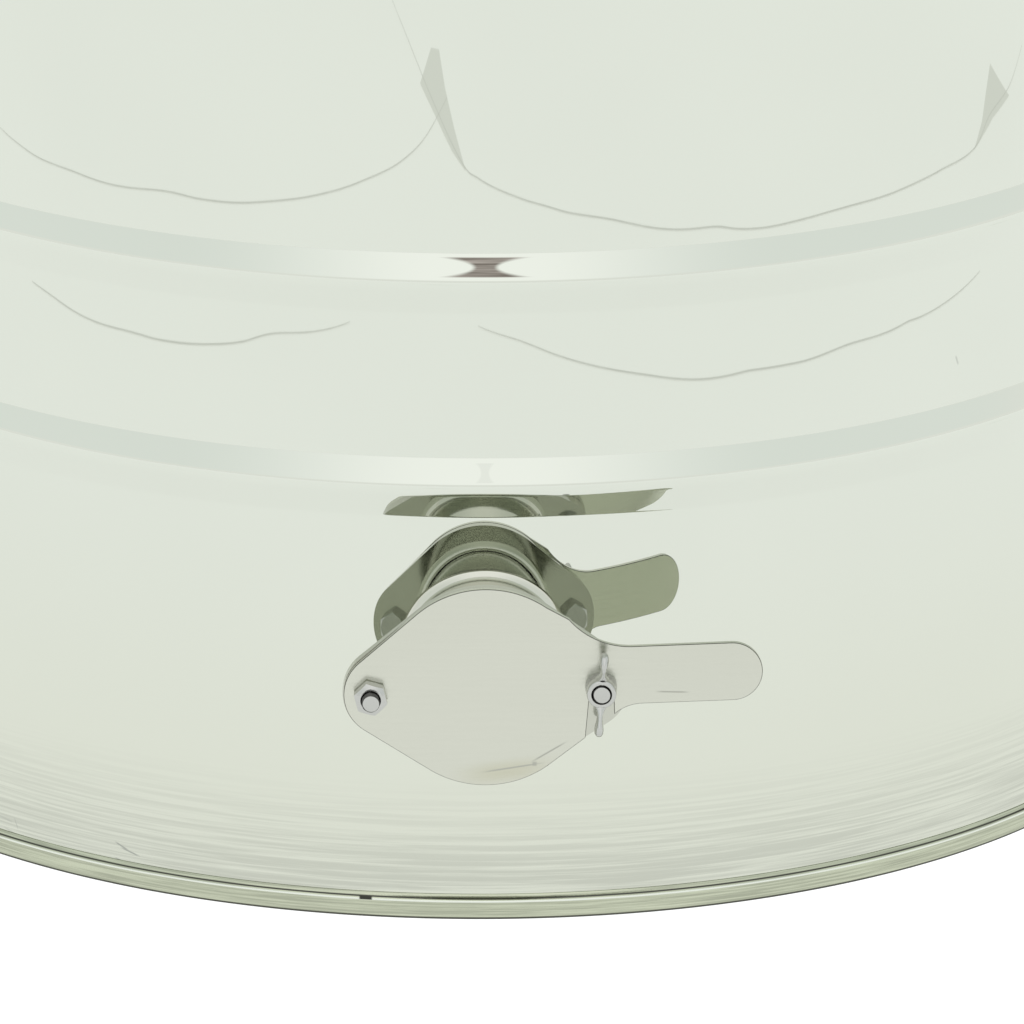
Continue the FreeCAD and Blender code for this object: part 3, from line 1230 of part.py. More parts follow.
def make_lid(side_name, angle):
    turn = about_z(angle)
    away, level = hinge_axis()
    low = drum_top + running_gap
    edge = drum_radius + lid_over
    corner = leg_of(edge, lid_edge)
    lid = new_body(f"lid_{side_name}")
    half_moon = outline(sketch_on(lid, "XY_Plane", low), [
        (corner, lid_edge), (-corner, lid_edge, 1, "y", 0)])
    pad(lid, half_moon, lid_thick)
    place(lid, turn=turn)

    knob = new_body(f"knob_{side_name}")
    seat = low + lid_thick + weld_gap
    ball_foot = knob_height - knob_radius - leg_of(knob_radius, knob_neck)
    revolve(knob, outline(sketch_on(knob, "XZ_Plane"), [
        (0, 0), (knob_radius, 0), (knob_radius, knob_base), (knob_neck, knob_base),
        (knob_neck, ball_foot), (0, knob_height, 1, "x", 0)]))
    spot = knob_place if angle == 0 else -knob_place
    place(knob, 0, spot, seat)

    fixed, leaves = [], []
    for side in (-1, 1):
        middle = hinge_place * side
        low_x, high_x = middle - hinge_half, middle + hinge_half
        plate = box(low_x, high_x, bar_half + weld_gap, bar_half + hinge_sheet,
                    level, level + fixed_leaf)
        barrel = cylinder(knuckle_radius - weld_gap, hinge_half * 2, low_x, away, level, TO_X)
        room = box(middle - knuckle_half - running_gap, middle + knuckle_half + running_gap,
                   as_size(bar_half), away + knuckle_radius * 2,
                   level - knuckle_radius, level + knuckle_radius + running_gap)
        pin_hole = cylinder(hinge_pin + shaft_gap, hinge_half * 2, low_x, away, level, TO_X)
        fixed.append(cut(fuse(plate, barrel), fuse(room, pin_hole)))
        fixed.append(cylinder(hinge_pin, hinge_half * 2, low_x, away, level, TO_X))
        leaf_low = level - knuckle_radius
        leaf = box(low_x, high_x, away + knuckle_radius + running_gap, away + leaf_length,
                   leaf_low, leaf_low + hinge_sheet)
        tongue = box(middle - knuckle_half, middle + knuckle_half, away,
                     away + leaf_length / 2, leaf_low, leaf_low + hinge_sheet)
        knuckle = cylinder(knuckle_radius, knuckle_half * 2, middle - knuckle_half,
                           away, level, TO_X)
        pin_room = cylinder(hinge_pin + shaft_gap, knuckle_half * 2, middle - knuckle_half,
                            away, level, TO_X)
        leaves.append(cut(fuse(leaf, tongue, knuckle), pin_room))
    piece(place(group(*fixed), turn=turn), f"hinge_fixed_{side_name}")
    piece(place(group(*leaves), turn=turn), f"hinge_leaf_{side_name}")


# ---------------------------------------------------------------- assembly

def check_model():
    """Stop if an object failed to build or a sub-part is not sound."""
    for item in doc.Objects:
        if "Invalid" in item.State or "Error" in item.State:
            raise RuntimeError(f"{item.Label} did not build: {item.State}")
    for item in pieces:
        if item.Shape.isNull() or not item.Shape.isValid() or not item.Shape.Solids:
            raise RuntimeError(f"{item.Label} is not a sound solid")


def write_pieces():
    os.makedirs("parts", exist_ok=True)
    for item in pieces:
        item.Shape.exportStep(os.path.join("parts", f"{item.Label}.step"))


make_drum()
make_gate()
for leg_number, leg_angle in enumerate(LEG_ANGLES, 1):
    make_leg(leg_number, leg_angle)
piece(group(*leg_fasteners), "leg_bolts")
make_crossbar()
make_clamps()
make_top_bearing()
make_brackets()
piece(group(*crossbar_fasteners), "crossbar_bolts")
make_bottom_bearing()
make_gears()
make_crank()
make_basket()
make_lid("back", 0)
make_lid("front", 180)
doc.recompute()
check_model()
write_pieces()
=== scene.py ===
import math

import bmesh
import bpy
from mathutils import Matrix, Vector


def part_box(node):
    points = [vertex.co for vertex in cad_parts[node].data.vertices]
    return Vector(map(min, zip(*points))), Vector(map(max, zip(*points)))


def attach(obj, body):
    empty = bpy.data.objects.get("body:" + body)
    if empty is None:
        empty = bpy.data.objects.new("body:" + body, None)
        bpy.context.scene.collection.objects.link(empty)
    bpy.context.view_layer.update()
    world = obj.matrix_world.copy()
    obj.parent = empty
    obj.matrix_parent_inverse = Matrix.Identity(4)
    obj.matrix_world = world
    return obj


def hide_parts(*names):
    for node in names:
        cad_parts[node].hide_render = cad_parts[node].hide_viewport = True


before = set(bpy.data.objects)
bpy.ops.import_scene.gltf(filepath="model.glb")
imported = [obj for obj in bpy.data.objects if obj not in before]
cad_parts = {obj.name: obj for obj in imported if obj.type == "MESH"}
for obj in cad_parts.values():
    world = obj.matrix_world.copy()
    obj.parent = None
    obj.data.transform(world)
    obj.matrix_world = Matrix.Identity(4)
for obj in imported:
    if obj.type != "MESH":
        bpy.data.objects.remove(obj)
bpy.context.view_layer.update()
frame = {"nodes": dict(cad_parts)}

bl_info = {
    "name": "Honey Extractor",
    "version": (1, 0, 0),
    "blender": (4, 5, 0),
    "location": "View3D > Sidebar > Honey Extractor",
    "description": "Dresses a steel honey extractor with its gate, drive, basket and lids",
    "category": "Object",
}

MM = 0.001
TURN = 2 * math.pi

GAP = 0.00005           # between a piece and the bore it sits in
LIFT = 0.0001           # between faces that lie on one another
SAME = 1e-7             # points closer than this are one point
WELDED = 1e-6           # vertices closer than this are joined
SQUARE = 0.9            # a normal's share along an axis from which a face is square to it


# ------------------------------------------------------------------ sizes and colours

def length(name, description, default):
    return bpy.props.FloatProperty(
        name=name, description=description, default=default, unit="LENGTH")


def angle(name, description, default):
    return bpy.props.FloatProperty(
        name=name, description=description, default=default, unit="ROTATION")


def number(name, description, default):
    return bpy.props.IntProperty(name=name, description=description, default=default)


def colour(name, description, default, most=1):
    return bpy.props.FloatVectorProperty(
        name=name, description=description, default=default, subtype="COLOR", min=0, max=most)


def light(name, description, default):
    return colour(name, description, default, most=2)


class DrumSizes(bpy.types.PropertyGroup):
    """Sizes of the drum wall, its beads and its lower rim."""
    wall_radius: length("Wall radius", "Outer radius of the drum wall", 0.250)
    sheet: length("Sheet", "Thickness of the drum's sheet", 0.001)
    rim_height: length("Rim height", "Lower rim above the floor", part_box("drum_wall")[0].z)
    top_height: length("Top height", "Top of the curled rim above the floor",
                       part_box("drum_wall")[1].z)
    bead_low: length("Lowest bead", "Middle of the lowest bead above the lower rim", 0.1538)
    bead_pitch: length("Bead pitch", "Distance between the two beads of a pair", 0.0713)
    pair_pitch: length("Pair pitch", "Distance from the lower to the upper pair of beads", 0.300)
    bead_half: length("Bead half height", "Half the height of a bead", 0.0106)
    bead_slope: angle("Bead slope", "Angle between a bead's straight flanks and the wall",
                      math.radians(16.0))
    bead_crown: length("Bead crown", "Radius of the crown between a bead's flanks", 0.0092)
    bead_foot: length("Bead foot", "Radius of the foot of a bead", 0.0012)
    curl_radius: length("Curl radius", "Radius of the curled upper rim", 0.005)
    steps_round: number("Steps round", "Faces round the drum", 480)


class GateSizes(bpy.types.PropertyGroup):
    """Sizes of the honey gate, seen from the front."""
    tilt: angle("Tilt", "How far the gate is turned anticlockwise", math.radians(2.2))
    axis_height: length("Axis height", "Axis of the outlet above the lower rim", 0.0962)
    pipe_radius: length("Pipe radius", "Outer radius of the outlet pipe", 0.026)
    pipe_wall: length("Pipe wall", "Wall of the outlet pipe", 0.0015)
    flange_stand: length("Flange stand", "Drum wall to the back of the flange", 0.0303)
    flange_thick: length("Flange thickness", "Thickness of the flange", 0.0029)
    flange_round: length("Flange round", "Radius of the flange about the outlet", 0.034)
    flange_end: length("Flange end", "Radius of the flange's ends", 0.0158)
    flange_reach: length("Flange reach", "Centre of an end radius beside the outlet axis", 0.0318)
    bolt_reach: length("Bolt reach", "Bolts beside the outlet axis", 0.03825)
    bolt_drop: length("Bolt drop", "Bolts and end rounds below the outlet axis", 0.0017)
    bolt_radius: length("Bolt radius", "Radius of the gate bolts", 0.003)
    bolt_flats: length("Bolt flats", "Width over flats of the gate's bolt heads and nut", 0.010)
    blade_thick: length("Blade thickness", "Thickness of the shutter blade", 0.002)
    blade_round: length("Blade round", "Radius of the blade over the outlet", 0.0345)
    blade_drop: length("Blade drop", "Centre of the blade's round below the outlet axis", 0.00045)
    blade_end: length("Blade end", "Radius of the blade's pivot end", 0.0149)
    blade_reach: length("Blade reach", "Centre of the pivot end beside the outlet axis", 0.0323)
    handle_reach: length("Handle reach", "Centre of the handle's tip from the outlet axis", 0.0819)
    handle_half: length("Handle half width", "Half the width of the handle", 0.0101)
    handle_rise: length("Handle rise", "Middle of the handle above the outlet axis", 0.0020)
    handle_fillet: length("Upper fillet", "Fillet above the handle's root", 0.026)
    handle_nook: length("Lower fillet", "Fillet below the handle's root", 0.014)


class DriveSizes(bpy.types.PropertyGroup):
    """Places of the crossbar, the crank and the basket."""
    bar_web: length("Crossbar", "Upper face of the crossbar's web above the floor",
                    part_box("crossbar")[1].z - 0.020)
    crank_height: length("Crank height", "Axis of the crank above the floor",
                         (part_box("crank_shaft")[0].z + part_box("crank_shaft")[1].z) / 2)
    arm_place: length("Arm place", "Crank arm from the drum's axis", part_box("crank_arm")[0].x)
    arm_length: length("Arm length", "Crank arm between its axes", 0.160)
    comb_out: length("Outer screens", "Outer screens from the basket's axis", 0.190)
    comb_depth: length("Comb depth", "Distance between outer and inner screens", 0.040)
    rod_radius: length("Rod radius", "Radius of a screen's rods", 0.0015)
    rod_columns: number("Upright rods", "Upright rods of a screen", 5)
    rod_rows: number("Cross rods", "Cross rods of a screen", 9)


class SteelColours(bpy.types.PropertyGroup):
    """Colours of the finishes."""
    drum: colour("Drum steel", "Mirror-polished steel of the drum", (0.618, 0.645, 0.575))
    gate: colour("Gate steel", "Polished steel of the gate", (0.532, 0.542, 0.470))
    frame: colour("Frame steel", "Brushed steel of legs and crossbar", (0.620, 0.630, 0.615))
    bolt: colour("Bolt steel", "Turned steel of bolts and nuts", (0.450, 0.457, 0.430))
    gear: colour("Gear steel", "Machined steel of the bevel gears", (0.400, 0.405, 0.410))
    alloy: colour("Cast alloy", "Cast alloy of bearings and brackets", (0.560, 0.570, 0.580))
    bronze: colour("Bronze", "Bronze of the bushes", (0.480, 0.300, 0.120))
    silicone: colour("Silicone", "Seal ring of the gate", (0.680, 0.680, 0.650))
    rubber: colour("Rubber", "Pads under the feet", (0.025, 0.025, 0.026))
    plastic: colour("Plastic", "Grip and knobs", (0.018, 0.018, 0.019))
    acrylic: colour("Acrylic", "Clear lids", (0.900, 0.960, 0.955))


class StageSizes(bpy.types.PropertyGroup):
    """Camera, floor and light."""
    camera_place: bpy.props.FloatVectorProperty(
        name="Camera place", description="Camera before its turn about the drum's axis",
        default=(0.0, -3.1488, 1.5150), subtype="TRANSLATION", unit="LENGTH")
    camera_orbit: angle("Camera orbit", "Turn of the camera about the drum's axis",
                        math.radians(-0.584))
    camera_yaw: angle("Camera yaw", "Turn of the view to the left", -0.004)
    camera_pitch: angle("Camera pitch", "How far the camera looks down", 0.329)
    camera_roll: angle("Camera roll", "Turn of the camera about its view", 0.003)
    lens: bpy.props.FloatProperty(
        name="Lens", description="Focal length on a 36 mm sensor", default=322.83)
    floor_half: length("Floor half", "Half the side of the floor", 9.0)
    floor_colour: colour("Floor colour", "Colour of the floor", (0.50, 0.50, 0.50))
    floor_glow: bpy.props.FloatProperty(
        name="Floor glow", description="Light the floor gives off, as an evenly lit table",
        default=0.62)
    # Painted shade: the grey of the seams and folds on the floor stands in for the shade at the
    # sheets' raised edges.
    seam_shade_colour: colour("Seam shade colour", "Colour of the seams between the sheets on the floor",
                        (0.38, 0.38, 0.37))
    seam_width: length("Seam width", "Width of a seam on the floor", 0.0034)
    side_light: light("Side light", "Light from the sides and from behind", (1.060, 1.095, 1.100))
    front_light: light("Front light", "Light of the softbox over the camera",
                       (1.350, 1.350, 1.370))
    horizon_light: light("Horizon light", "Light of the backdrop near the floor",
                         (1.120, 1.120, 1.120))


def settings():
    return bpy.context.scene.honey_extractor


class ExtractorSettings(bpy.types.PropertyGroup):
    """All settings of the honey extractor."""
    drum: bpy.props.PointerProperty(type=DrumSizes)
    gate: bpy.props.PointerProperty(type=GateSizes)
    drive: bpy.props.PointerProperty(type=DriveSizes)
    colours: bpy.props.PointerProperty(type=SteelColours)
    stage: bpy.props.PointerProperty(type=StageSizes)


# ------------------------------------------------------------------ mesh helpers

def arc(centre, radius, start, end, steps):
    """Points on an arc, angles in degrees, both ends included."""
    points = []
    for k in range(steps + 1):
        turn = math.radians(start + (end - start) * k / steps)
        points.append((centre[0] + radius * math.cos(turn), centre[1] + radius * math.sin(turn)))
    return points


def joined(*stretches):
    """Stretches of points in a row, with no point twice."""
    points = []
    for stretch in stretches:
        for point in stretch:
            if not points or math.dist(points[-1], point) > SAME:
                points.append(point)
    if math.dist(points[0], points[-1]) < SAME:
        points.pop()
    return points


def add_object(name, mesh):
    item = bpy.data.objects.new(name, mesh)
    bpy.context.collection.objects.link(item)
    return item


def mesh_from(name, bm):
    mesh = bpy.data.meshes.new(name)
    bm.to_mesh(mesh)
    bm.free()
    return mesh


def object_from(name, bm, sharp=35):
    """A smooth-shaded object from a bmesh, with edges above an angle kept sharp."""
    bmesh.ops.recalc_face_normals(bm, faces=bm.faces)
    mesh = mesh_from(name, bm)
    mesh.shade_smooth()
    mesh.set_sharp_from_angle(angle=math.radians(sharp))
    return add_object(name, mesh)


def baked(item):
    """Turn an object's modifiers into plain mesh."""
    graph = bpy.context.evaluated_depsgraph_get()
    mesh = bpy.data.meshes.new_from_object(item.evaluated_get(graph))
    mesh.name = item.name
    item.modifiers.clear()
    item.data = mesh
    return item


def place_mesh(item, matrix):
    """Move an object's mesh to its place and leave the object at the origin."""
    item.data.transform(matrix)
    item.data.update()
    return item


def shift(x=0.0, y=0.0, z=0.0):
    return Matrix.Translation((x, y, z))


def rotation(degrees, axis):
    return Matrix.Rotation(math.radians(degrees), 4, axis)


def extent(node_name, axis="z"):
    """Lowest and highest place of a CAD node along an axis."""
    return [getattr(corner, axis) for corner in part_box(node_name)]


def lathe(name, profile, segments, closed=True, sharp=35):
    """Turn (radius, height) points about the Z axis.

    A closed profile makes a ring; an open one starts and ends on the axis.
    """
    bm = bmesh.new()
    rings = []
    for radius, height in profile:
        if radius < SAME:
            rings.append([bm.verts.new((0, 0, height))])
            continue
        rings.append([bm.verts.new((radius * math.cos(TURN * k / segments),
                                    radius * math.sin(TURN * k / segments), height))
                      for k in range(segments)])
    pairs = list(zip(rings, rings[1:] + rings[:1])) if closed else list(zip(rings, rings[1:]))
    for low, high in pairs:
        for k in range(segments):
            after = (k + 1) % segments
            corners = [low[k % len(low)], low[after % len(low)],
                       high[after % len(high)], high[k % len(high)]]
            unique = list(dict.fromkeys(corners))
            if len(unique) > 2:
                bm.faces.new(unique)
    return object_from(name, bm, sharp)


def prism(name, outline, low, high, sharp=35):
    """A plate with a given outline between two heights."""
    bm = bmesh.new()
    bottom = [bm.verts.new((x, y, low)) for x, y in outline]
    top = [bm.verts.new((x, y, high)) for x, y in outline]
    bm.faces.new(bottom[::-1])
    bm.faces.new(top)
    for k in range(len(outline)):
        after = (k + 1) % len(outline)
        bm.faces.new((bottom[k], bottom[after], top[after], top[k]))
    return object_from(name, bm, sharp)


def super_ellipse(count, power):
    """Points round a rounded square of half-width 1."""
    points = []
    for k in range(count):
        c, s = math.cos(TURN * k / count), math.sin(TURN * k / count)
        points.append((math.copysign(abs(c) ** (2 / power), c),
                       math.copysign(abs(s) ** (2 / power), s)))
    return points


def lofted(name, sections, sharp=50):
    """A closed skin over rings of points, one after the other."""
    bm = bmesh.new()
    rings = [[bm.verts.new(point) for point in section] for section in sections]
    for first, second in zip(rings, rings[1:]):
        for k in range(len(first)):
            after = (k + 1) % len(first)
            bm.faces.new((first[k], first[after], second[after], second[k]))
    bm.faces.new(rings[0][::-1])
    bm.faces.new(rings[-1])
    return object_from(name, bm, sharp)


def combined(item, operation, others):
    """Cut others out of an object or unite it with them, and delete them."""
    for other in others:
        boolean = item.modifiers.new("Boolean", "BOOLEAN")
        boolean.operation = operation
        boolean.solver = "EXACT"
        boolean.object = other
    baked(item)
    for other in others:
        bpy.data.objects.remove(other)
    return item


def cut_away(item, *tools):
    return combined(item, "DIFFERENCE", tools)


def rod(radius, low, high, x=0.0, y=0.0, segments=64):
    """A plain round bar used as a cutting tool."""
    profile = [(0, low), (radius, low), (radius, high), (0, high)]
    return place_mesh(lathe("Tool", profile, segments, closed=False), shift(x, y))


def eased(item, width, segments=3):
    """Round an object's sharp edges and keep its flats flat in the light."""
    bevel = item.modifiers.new("Edges", "BEVEL")
    bevel.width = width
    bevel.segments = segments
    bevel.limit_method = "ANGLE"
    bevel.angle_limit = math.radians(30)
    bevel.harden_normals = False
    bevel.use_clamp_overlap = True
    normals = item.modifiers.new("Flats", "WEIGHTED_NORMAL")
    normals.keep_sharp = True
    normals.weight = 60
    return baked(item)


def merged_copy(name, node):
    """A copy of a CAD node with its loose triangles joined into flat faces."""
    bm = bmesh.new()
    bm.from_mesh(frame["nodes"][node].data)
    bmesh.ops.remove_doubles(bm, verts=bm.verts, dist=WELDED)
    bmesh.ops.dissolve_limit(bm, angle_limit=math.radians(0.5), verts=bm.verts, edges=bm.edges)
    return object_from(name, bm, sharp=30)


def dressed(node, body, finish, width, segments=2):
    """Ease the edges of a copy of a CAD node and let it stand for the node."""
    item = eased(merged_copy(f"{node}_skin", node), width, segments)
    return finish_piece(item, body, finish, node)


def crosswise(item, height):
    """Lay a turned piece along the X axis at a height."""
    return place_mesh(item, shift(z=height) @ rotation(90, "Y"))


# ------------------------------------------------------------------ geometry nodes

def new_tree(name, *inputs):
    """A geometry node tree with named inputs; the last one is always the finish."""
    tree = bpy.data.node_groups.new(name, "GeometryNodeTree")
    tree.interface.new_socket("Geometry", in_out="INPUT", socket_type="NodeSocketGeometry")
    tree.interface.new_socket("Geometry", in_out="OUTPUT", socket_type="NodeSocketGeometry")
    for label, kind in (*inputs, ("Finish", "NodeSocketMaterial")):
        tree.interface.new_socket(label, in_out="INPUT", socket_type=kind)
    return tree, tree.nodes.new("NodeGroupInput").outputs


def feed(tree, item, inputs):
    """Link or set a node's inputs."""
    for name, value in inputs.items():
        if isinstance(value, bpy.types.NodeSocket):
            tree.links.new(value, item.inputs[name])
        else:
            item.inputs[name].default_value = value


def node(tree, kind, inputs=None, **settings_of_node):
    """Add a node, set its properties and link or set its inputs."""
    item = tree.nodes.new(kind)
    for name, value in settings_of_node.items():
        setattr(item, name, value)
    feed(tree, item, inputs or {})
    return item


def calculated(tree, operation, *values):
    """Result of a math node on one or two values."""
    item = node(tree, "ShaderNodeMath", dict(enumerate(values)), operation=operation)
    return item.outputs["Value"]


def end_tree(tree, geometry, finish):
    """Close a tree with Realize Instances and Set Material."""
    real = node(tree, "GeometryNodeRealizeInstances", {"Geometry": geometry})
    coated = node(tree, "GeometryNodeSetMaterial",
                  {"Geometry": real.outputs["Geometry"], "Material": finish})
    output = tree.nodes.new("NodeGroupOutput")
    tree.links.new(coated.outputs["Geometry"], output.inputs["Geometry"])
    return tree


def grown(name, mesh, tree, values):
    """Run a tree on a mesh and keep the result as plain mesh."""
    item = add_object(name, mesh)
    modifier = item.modifiers.new("Grow", "NODES")
    modifier.node_group = tree
    for socket in tree.interface.items_tree:
        if socket.item_type == "SOCKET" and socket.in_out == "INPUT" and socket.name in values:
            modifier[socket.identifier] = values[socket.name]
    return baked(item)


def fastener_tree():
    """Stands a fastener on every point, along the point's own direction."""
    tree, given = new_tree("Fasteners", ("Fastener", "NodeSocketObject"))
    along = node(tree, "GeometryNodeInputNamedAttribute", {"Name": "direction"},
                 data_type="FLOAT_VECTOR")
    turn = node(tree, "FunctionNodeAlignRotationToVector",
                {"Vector": along.outputs["Attribute"]}, axis="Z")
    source = node(tree, "GeometryNodeObjectInfo", {"Object": given["Fastener"]})
    placed = node(tree, "GeometryNodeInstanceOnPoints",
                  {"Points": given["Geometry"], "Instance": source.outputs["Geometry"],
                   "Rotation": turn.outputs["Rotation"]})
    return end_tree(tree, placed.outputs["Instances"], given["Finish"])


ROD_LEAN = 0.55         # a layer of rods from the screen's middle, in rod radii


def screen_tree():
    """Crossed rods: uprights in front, cross rods behind, once for every pocket side."""
    tree, given = new_tree(
        "Screens", ("Distance", "NodeSocketFloat"), ("Side", "NodeSocketFloat"),
        ("Width", "NodeSocketFloat"), ("Height", "NodeSocketFloat"), ("Low", "NodeSocketFloat"),
        ("Radius", "NodeSocketFloat"), ("Columns", "NodeSocketInt"), ("Rows", "NodeSocketInt"))
    width, height, radius = given["Width"], given["Height"], given["Radius"]
    layers = []
    for count, span, length, upright in ((given["Columns"], width, height, True),
                                         (given["Rows"], height, width, False)):
        pitch = calculated(tree, "DIVIDE", span, calculated(tree, "ADD", count, 1))
        first = calculated(tree, "SUBTRACT", pitch, calculated(tree, "MULTIPLY", span, 0.5))
        lean = calculated(tree, "MULTIPLY", radius, -ROD_LEAN if upright else ROD_LEAN)
        start = node(tree, "ShaderNodeCombineXYZ",
                     {"X": lean, "Y" if upright else "Z": first})
        step = node(tree, "ShaderNodeCombineXYZ", {"Y" if upright else "Z": pitch})
        line = node(tree, "GeometryNodeMeshLine",
                    {"Count": count, "Start Location": start.outputs["Vector"],
                     "Offset": step.outputs["Vector"]})
        bar = node(tree, "GeometryNodeMeshCylinder",
                   {"Vertices": 14, "Radius": radius, "Depth": length})
        laid = node(tree, "GeometryNodeInstanceOnPoints",
                    {"Points": line.outputs["Mesh"], "Instance": bar.outputs["Mesh"],
                     "Rotation": (0 if upright else math.pi / 2, 0, 0)})
        layers.append(laid.outputs["Instances"])
    grid = node(tree, "GeometryNodeJoinGeometry")
    for layer in layers:
        tree.links.new(layer, grid.inputs["Geometry"])
    middle = calculated(tree, "ADD", given["Low"], calculated(tree, "MULTIPLY", height, 0.5))
    place = node(tree, "ShaderNodeCombineXYZ", {"X": given["Distance"], "Z": middle})
    moved = node(tree, "GeometryNodeTransform",
                 {"Geometry": grid.outputs["Geometry"], "Translation": place.outputs["Vector"]})
    turn = node(tree, "ShaderNodeCombineXYZ", {"Z": given["Side"]})
    turned = node(tree, "GeometryNodeTransform",
                  {"Geometry": moved.outputs["Geometry"], "Rotation": turn.outputs["Vector"]})
    smooth_rods = node(tree, "GeometryNodeSetShadeSmooth",
                       {"Geometry": turned.outputs["Geometry"]})
    return end_tree(tree, smooth_rods.outputs["Geometry"], given["Finish"])


def finish_piece(item, body, finish, *nodes, edge=None, least=0.0):
    """Give a piece its finish, let it ride on its body and stand for CAD nodes.

    edge is a second finish for marked faces, or else for the faces that turn away from
    the gate's axis; from least on, faces square to that axis keep the first finish.
    """
    faces = item.data.polygons
    marks = [face.material_index for face in faces] if edge else [0] * len(faces)
    if edge and not any(marks):
        marks = [int(least <= abs(face.normal.y) < SQUARE) for face in faces]
    item.data.materials.clear()
    for name in (finish, edge) if edge else (finish,):
        item.data.materials.append(FINISHES[name])
    faces.foreach_set("material_index", marks)
    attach(item, body)
    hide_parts(*nodes)
    return item


# ------------------------------------------------------------------ materials

EVEN = (1, 1, 1)            # grain that runs no way
ROUND = (1, 1, 60)          # grain that runs round the drum
ALONG_X = (60, 1, 60)
# Painted shade: a darker, warmer tint low on the wall and near the rim, where the wall mirrors the
# floor in the drum's shadow.
LOW_WALL_SHADE_TINT = (0.965, 0.955, 0.925)        # low on the wall, beside the drum's own colour
# Painted shade: the lower rim is tinted darker, as it mirrors the floor in the drum's shadow.
RIM_SHADE_TINT = (0.776, 0.788, 0.673)        # the lower rim, beside the drum's own colour
MARK_DEPTH = 0.08           # how far behind the front a mark can reach
FIGURE_REFLECTION_HALF = 0.0032        # half the height of a painted reflection on a bead

# Scratches on the front of the wall and on the blade: (right, up), half sizes, turn.
WALL_SCRATCHES = (
    ((-0.1234, 0.3939), (0.0030, 0.0004), 0.45),
    ((-0.1205, 0.3924), (0.0040, 0.0004), 0.30),
    ((-0.1238, 0.3884), (0.0026, 0.0005), 0.35),
    ((-0.1640, 0.3930), (0.0030, 0.0004), 0.20),
    ((-0.1604, 0.3925), (0.0024, 0.0003), 1.25),
    ((-0.1622, 0.3890), (0.0036, 0.0004), 0.30),
    ((0.1604, 0.5595), (0.0022, 0.0004), 1.30),
)
BLADE_SCRATCHES = (
    ((0.0090, 0.4475), (0.0120, 0.0004), -0.16),
    ((0.0210, 0.4530), (0.0080, 0.0004), -0.55),
    ((0.0620, 0.4742), (0.0065, 0.0004), 0.02),
    ((0.0163, 0.4488), (0.0010, 0.0010), 0.0),
)


def new_material(name):
    """A material with one shader: the material, its tree and the shader."""
    material = bpy.data.materials.new(name)
    material.use_nodes = True
    tree = material.node_tree
    tree.nodes.clear()
    output = node(tree, "ShaderNodeOutputMaterial")
    shader = node(tree, "ShaderNodeBsdfPrincipled")
    tree.links.new(shader.outputs["BSDF"], output.inputs["Surface"])
    return material, tree, shader


def own_place(tree):
    """The point on the surface, in the object's own coordinates."""
    return node(tree, "ShaderNodeTexCoord").outputs["Object"]


def separated(tree, vector):
    """Outputs X, Y and Z of a vector."""
    return node(tree, "ShaderNodeSeparateXYZ", {"Vector": vector}).outputs


def object_noise(tree, scale, noise_scale, detail=3.0, roughness=0.5):
    """Noise on the object's own coordinates, stretched by scale."""
    mapping = node(tree, "ShaderNodeMapping", {"Vector": own_place(tree), "Scale": scale})
    noise = node(tree, "ShaderNodeTexNoise",
                 {"Vector": mapping.outputs["Vector"], "Scale": noise_scale, "Detail": detail,
                  "Roughness": roughness})
    return noise.outputs["Fac"]


def ranged(tree, source, low, high, from_low=0.35, from_high=0.65, **settings_of_node):
    """Map a value to a range."""
    mapped = node(tree, "ShaderNodeMapRange",
                  {"Value": source, "From Min": from_low, "From Max": from_high, "To Min": low,
                   "To Max": high}, **settings_of_node)
    return mapped.outputs["Result"]


def smooth(tree, source, from_low, from_high, low, high):
    """A soft step from low to high over a range of a value."""
    return ranged(tree, source, low, high, from_low, from_high, interpolation_type="SMOOTHSTEP")


def product(tree, *sources):
    """Several factors multiplied."""
    result = sources[0]
    for source in sources[1:]:
        result = calculated(tree, "MULTIPLY", result, source)
    return result


def bumped(tree, *sources):
    """A normal from heights, one on the other: (height, strength, distance)."""
    normal = None
    for height, strength, distance in sources:
        bump = node(tree, "ShaderNodeBump",
                    {"Height": height, "Strength": strength, "Distance": distance})
        if normal:
            tree.links.new(normal, bump.inputs["Normal"])
        normal = bump.outputs["Normal"]
    return normal


def mixed(tree, factor, *tones):
    """Mix two colours, each a constant or another node's output."""
    first, second = (tone if isinstance(tone, bpy.types.NodeSocket) else (*tone, 1)
                     for tone in tones)
    mix = node(tree, "ShaderNodeMix", {"Factor": factor, "A": first, "B": second},
               data_type="RGBA")
    return mix.outputs["Result"]


def shade(tone, factor):
    return tuple(min(1.0, channel * factor) for channel in tone)


def hued(tone, factors):
    return tuple(channel * factor for channel, factor in zip(tone, factors))


def wandering(tree, noise, tone, low, high):
    """A colour that wanders between two shades of a tone."""
    return mixed(tree, ranged(tree, noise, 0, 1), shade(tone, low), shade(tone, high))


def steel(name, tone, roughness, grain, grain_scale, depth, wander=0.03, clouds=0.02):
    """Polished or brushed steel: fine lines along one direction, faint clouds of polish."""
    material, tree, shader = new_material(name)
    lines = object_noise(tree, grain, grain_scale, detail=4.0, roughness=0.6)
    patches = object_noise(tree, EVEN, 9.0, detail=2.0)
    feed(tree, shader, {
        "Metallic": 1.0,
        "Roughness": ranged(tree, lines, roughness * 0.75, roughness * 1.35),
        "Base Color": wandering(tree, patches, tone, 1 - wander, 1 + wander),
        "Normal": bumped(tree, (lines, 0.5, depth), (patches, clouds, 0.002))})
    return material


def cast_metal(name, tone):
    """Cast alloy with a fine sand-cast skin."""
    material, tree, shader = new_material(name)
    grains = object_noise(tree, EVEN, 900.0, detail=4.0)
    patches = object_noise(tree, EVEN, 25.0)
    feed(tree, shader, {
        "Metallic": 1.0,
        "Roughness": ranged(tree, grains, 0.30, 0.46),
        "Base Color": wandering(tree, patches, tone, 0.92, 1.06),
        "Normal": bumped(tree, (grains, 0.35, 0.0002))})
    return material


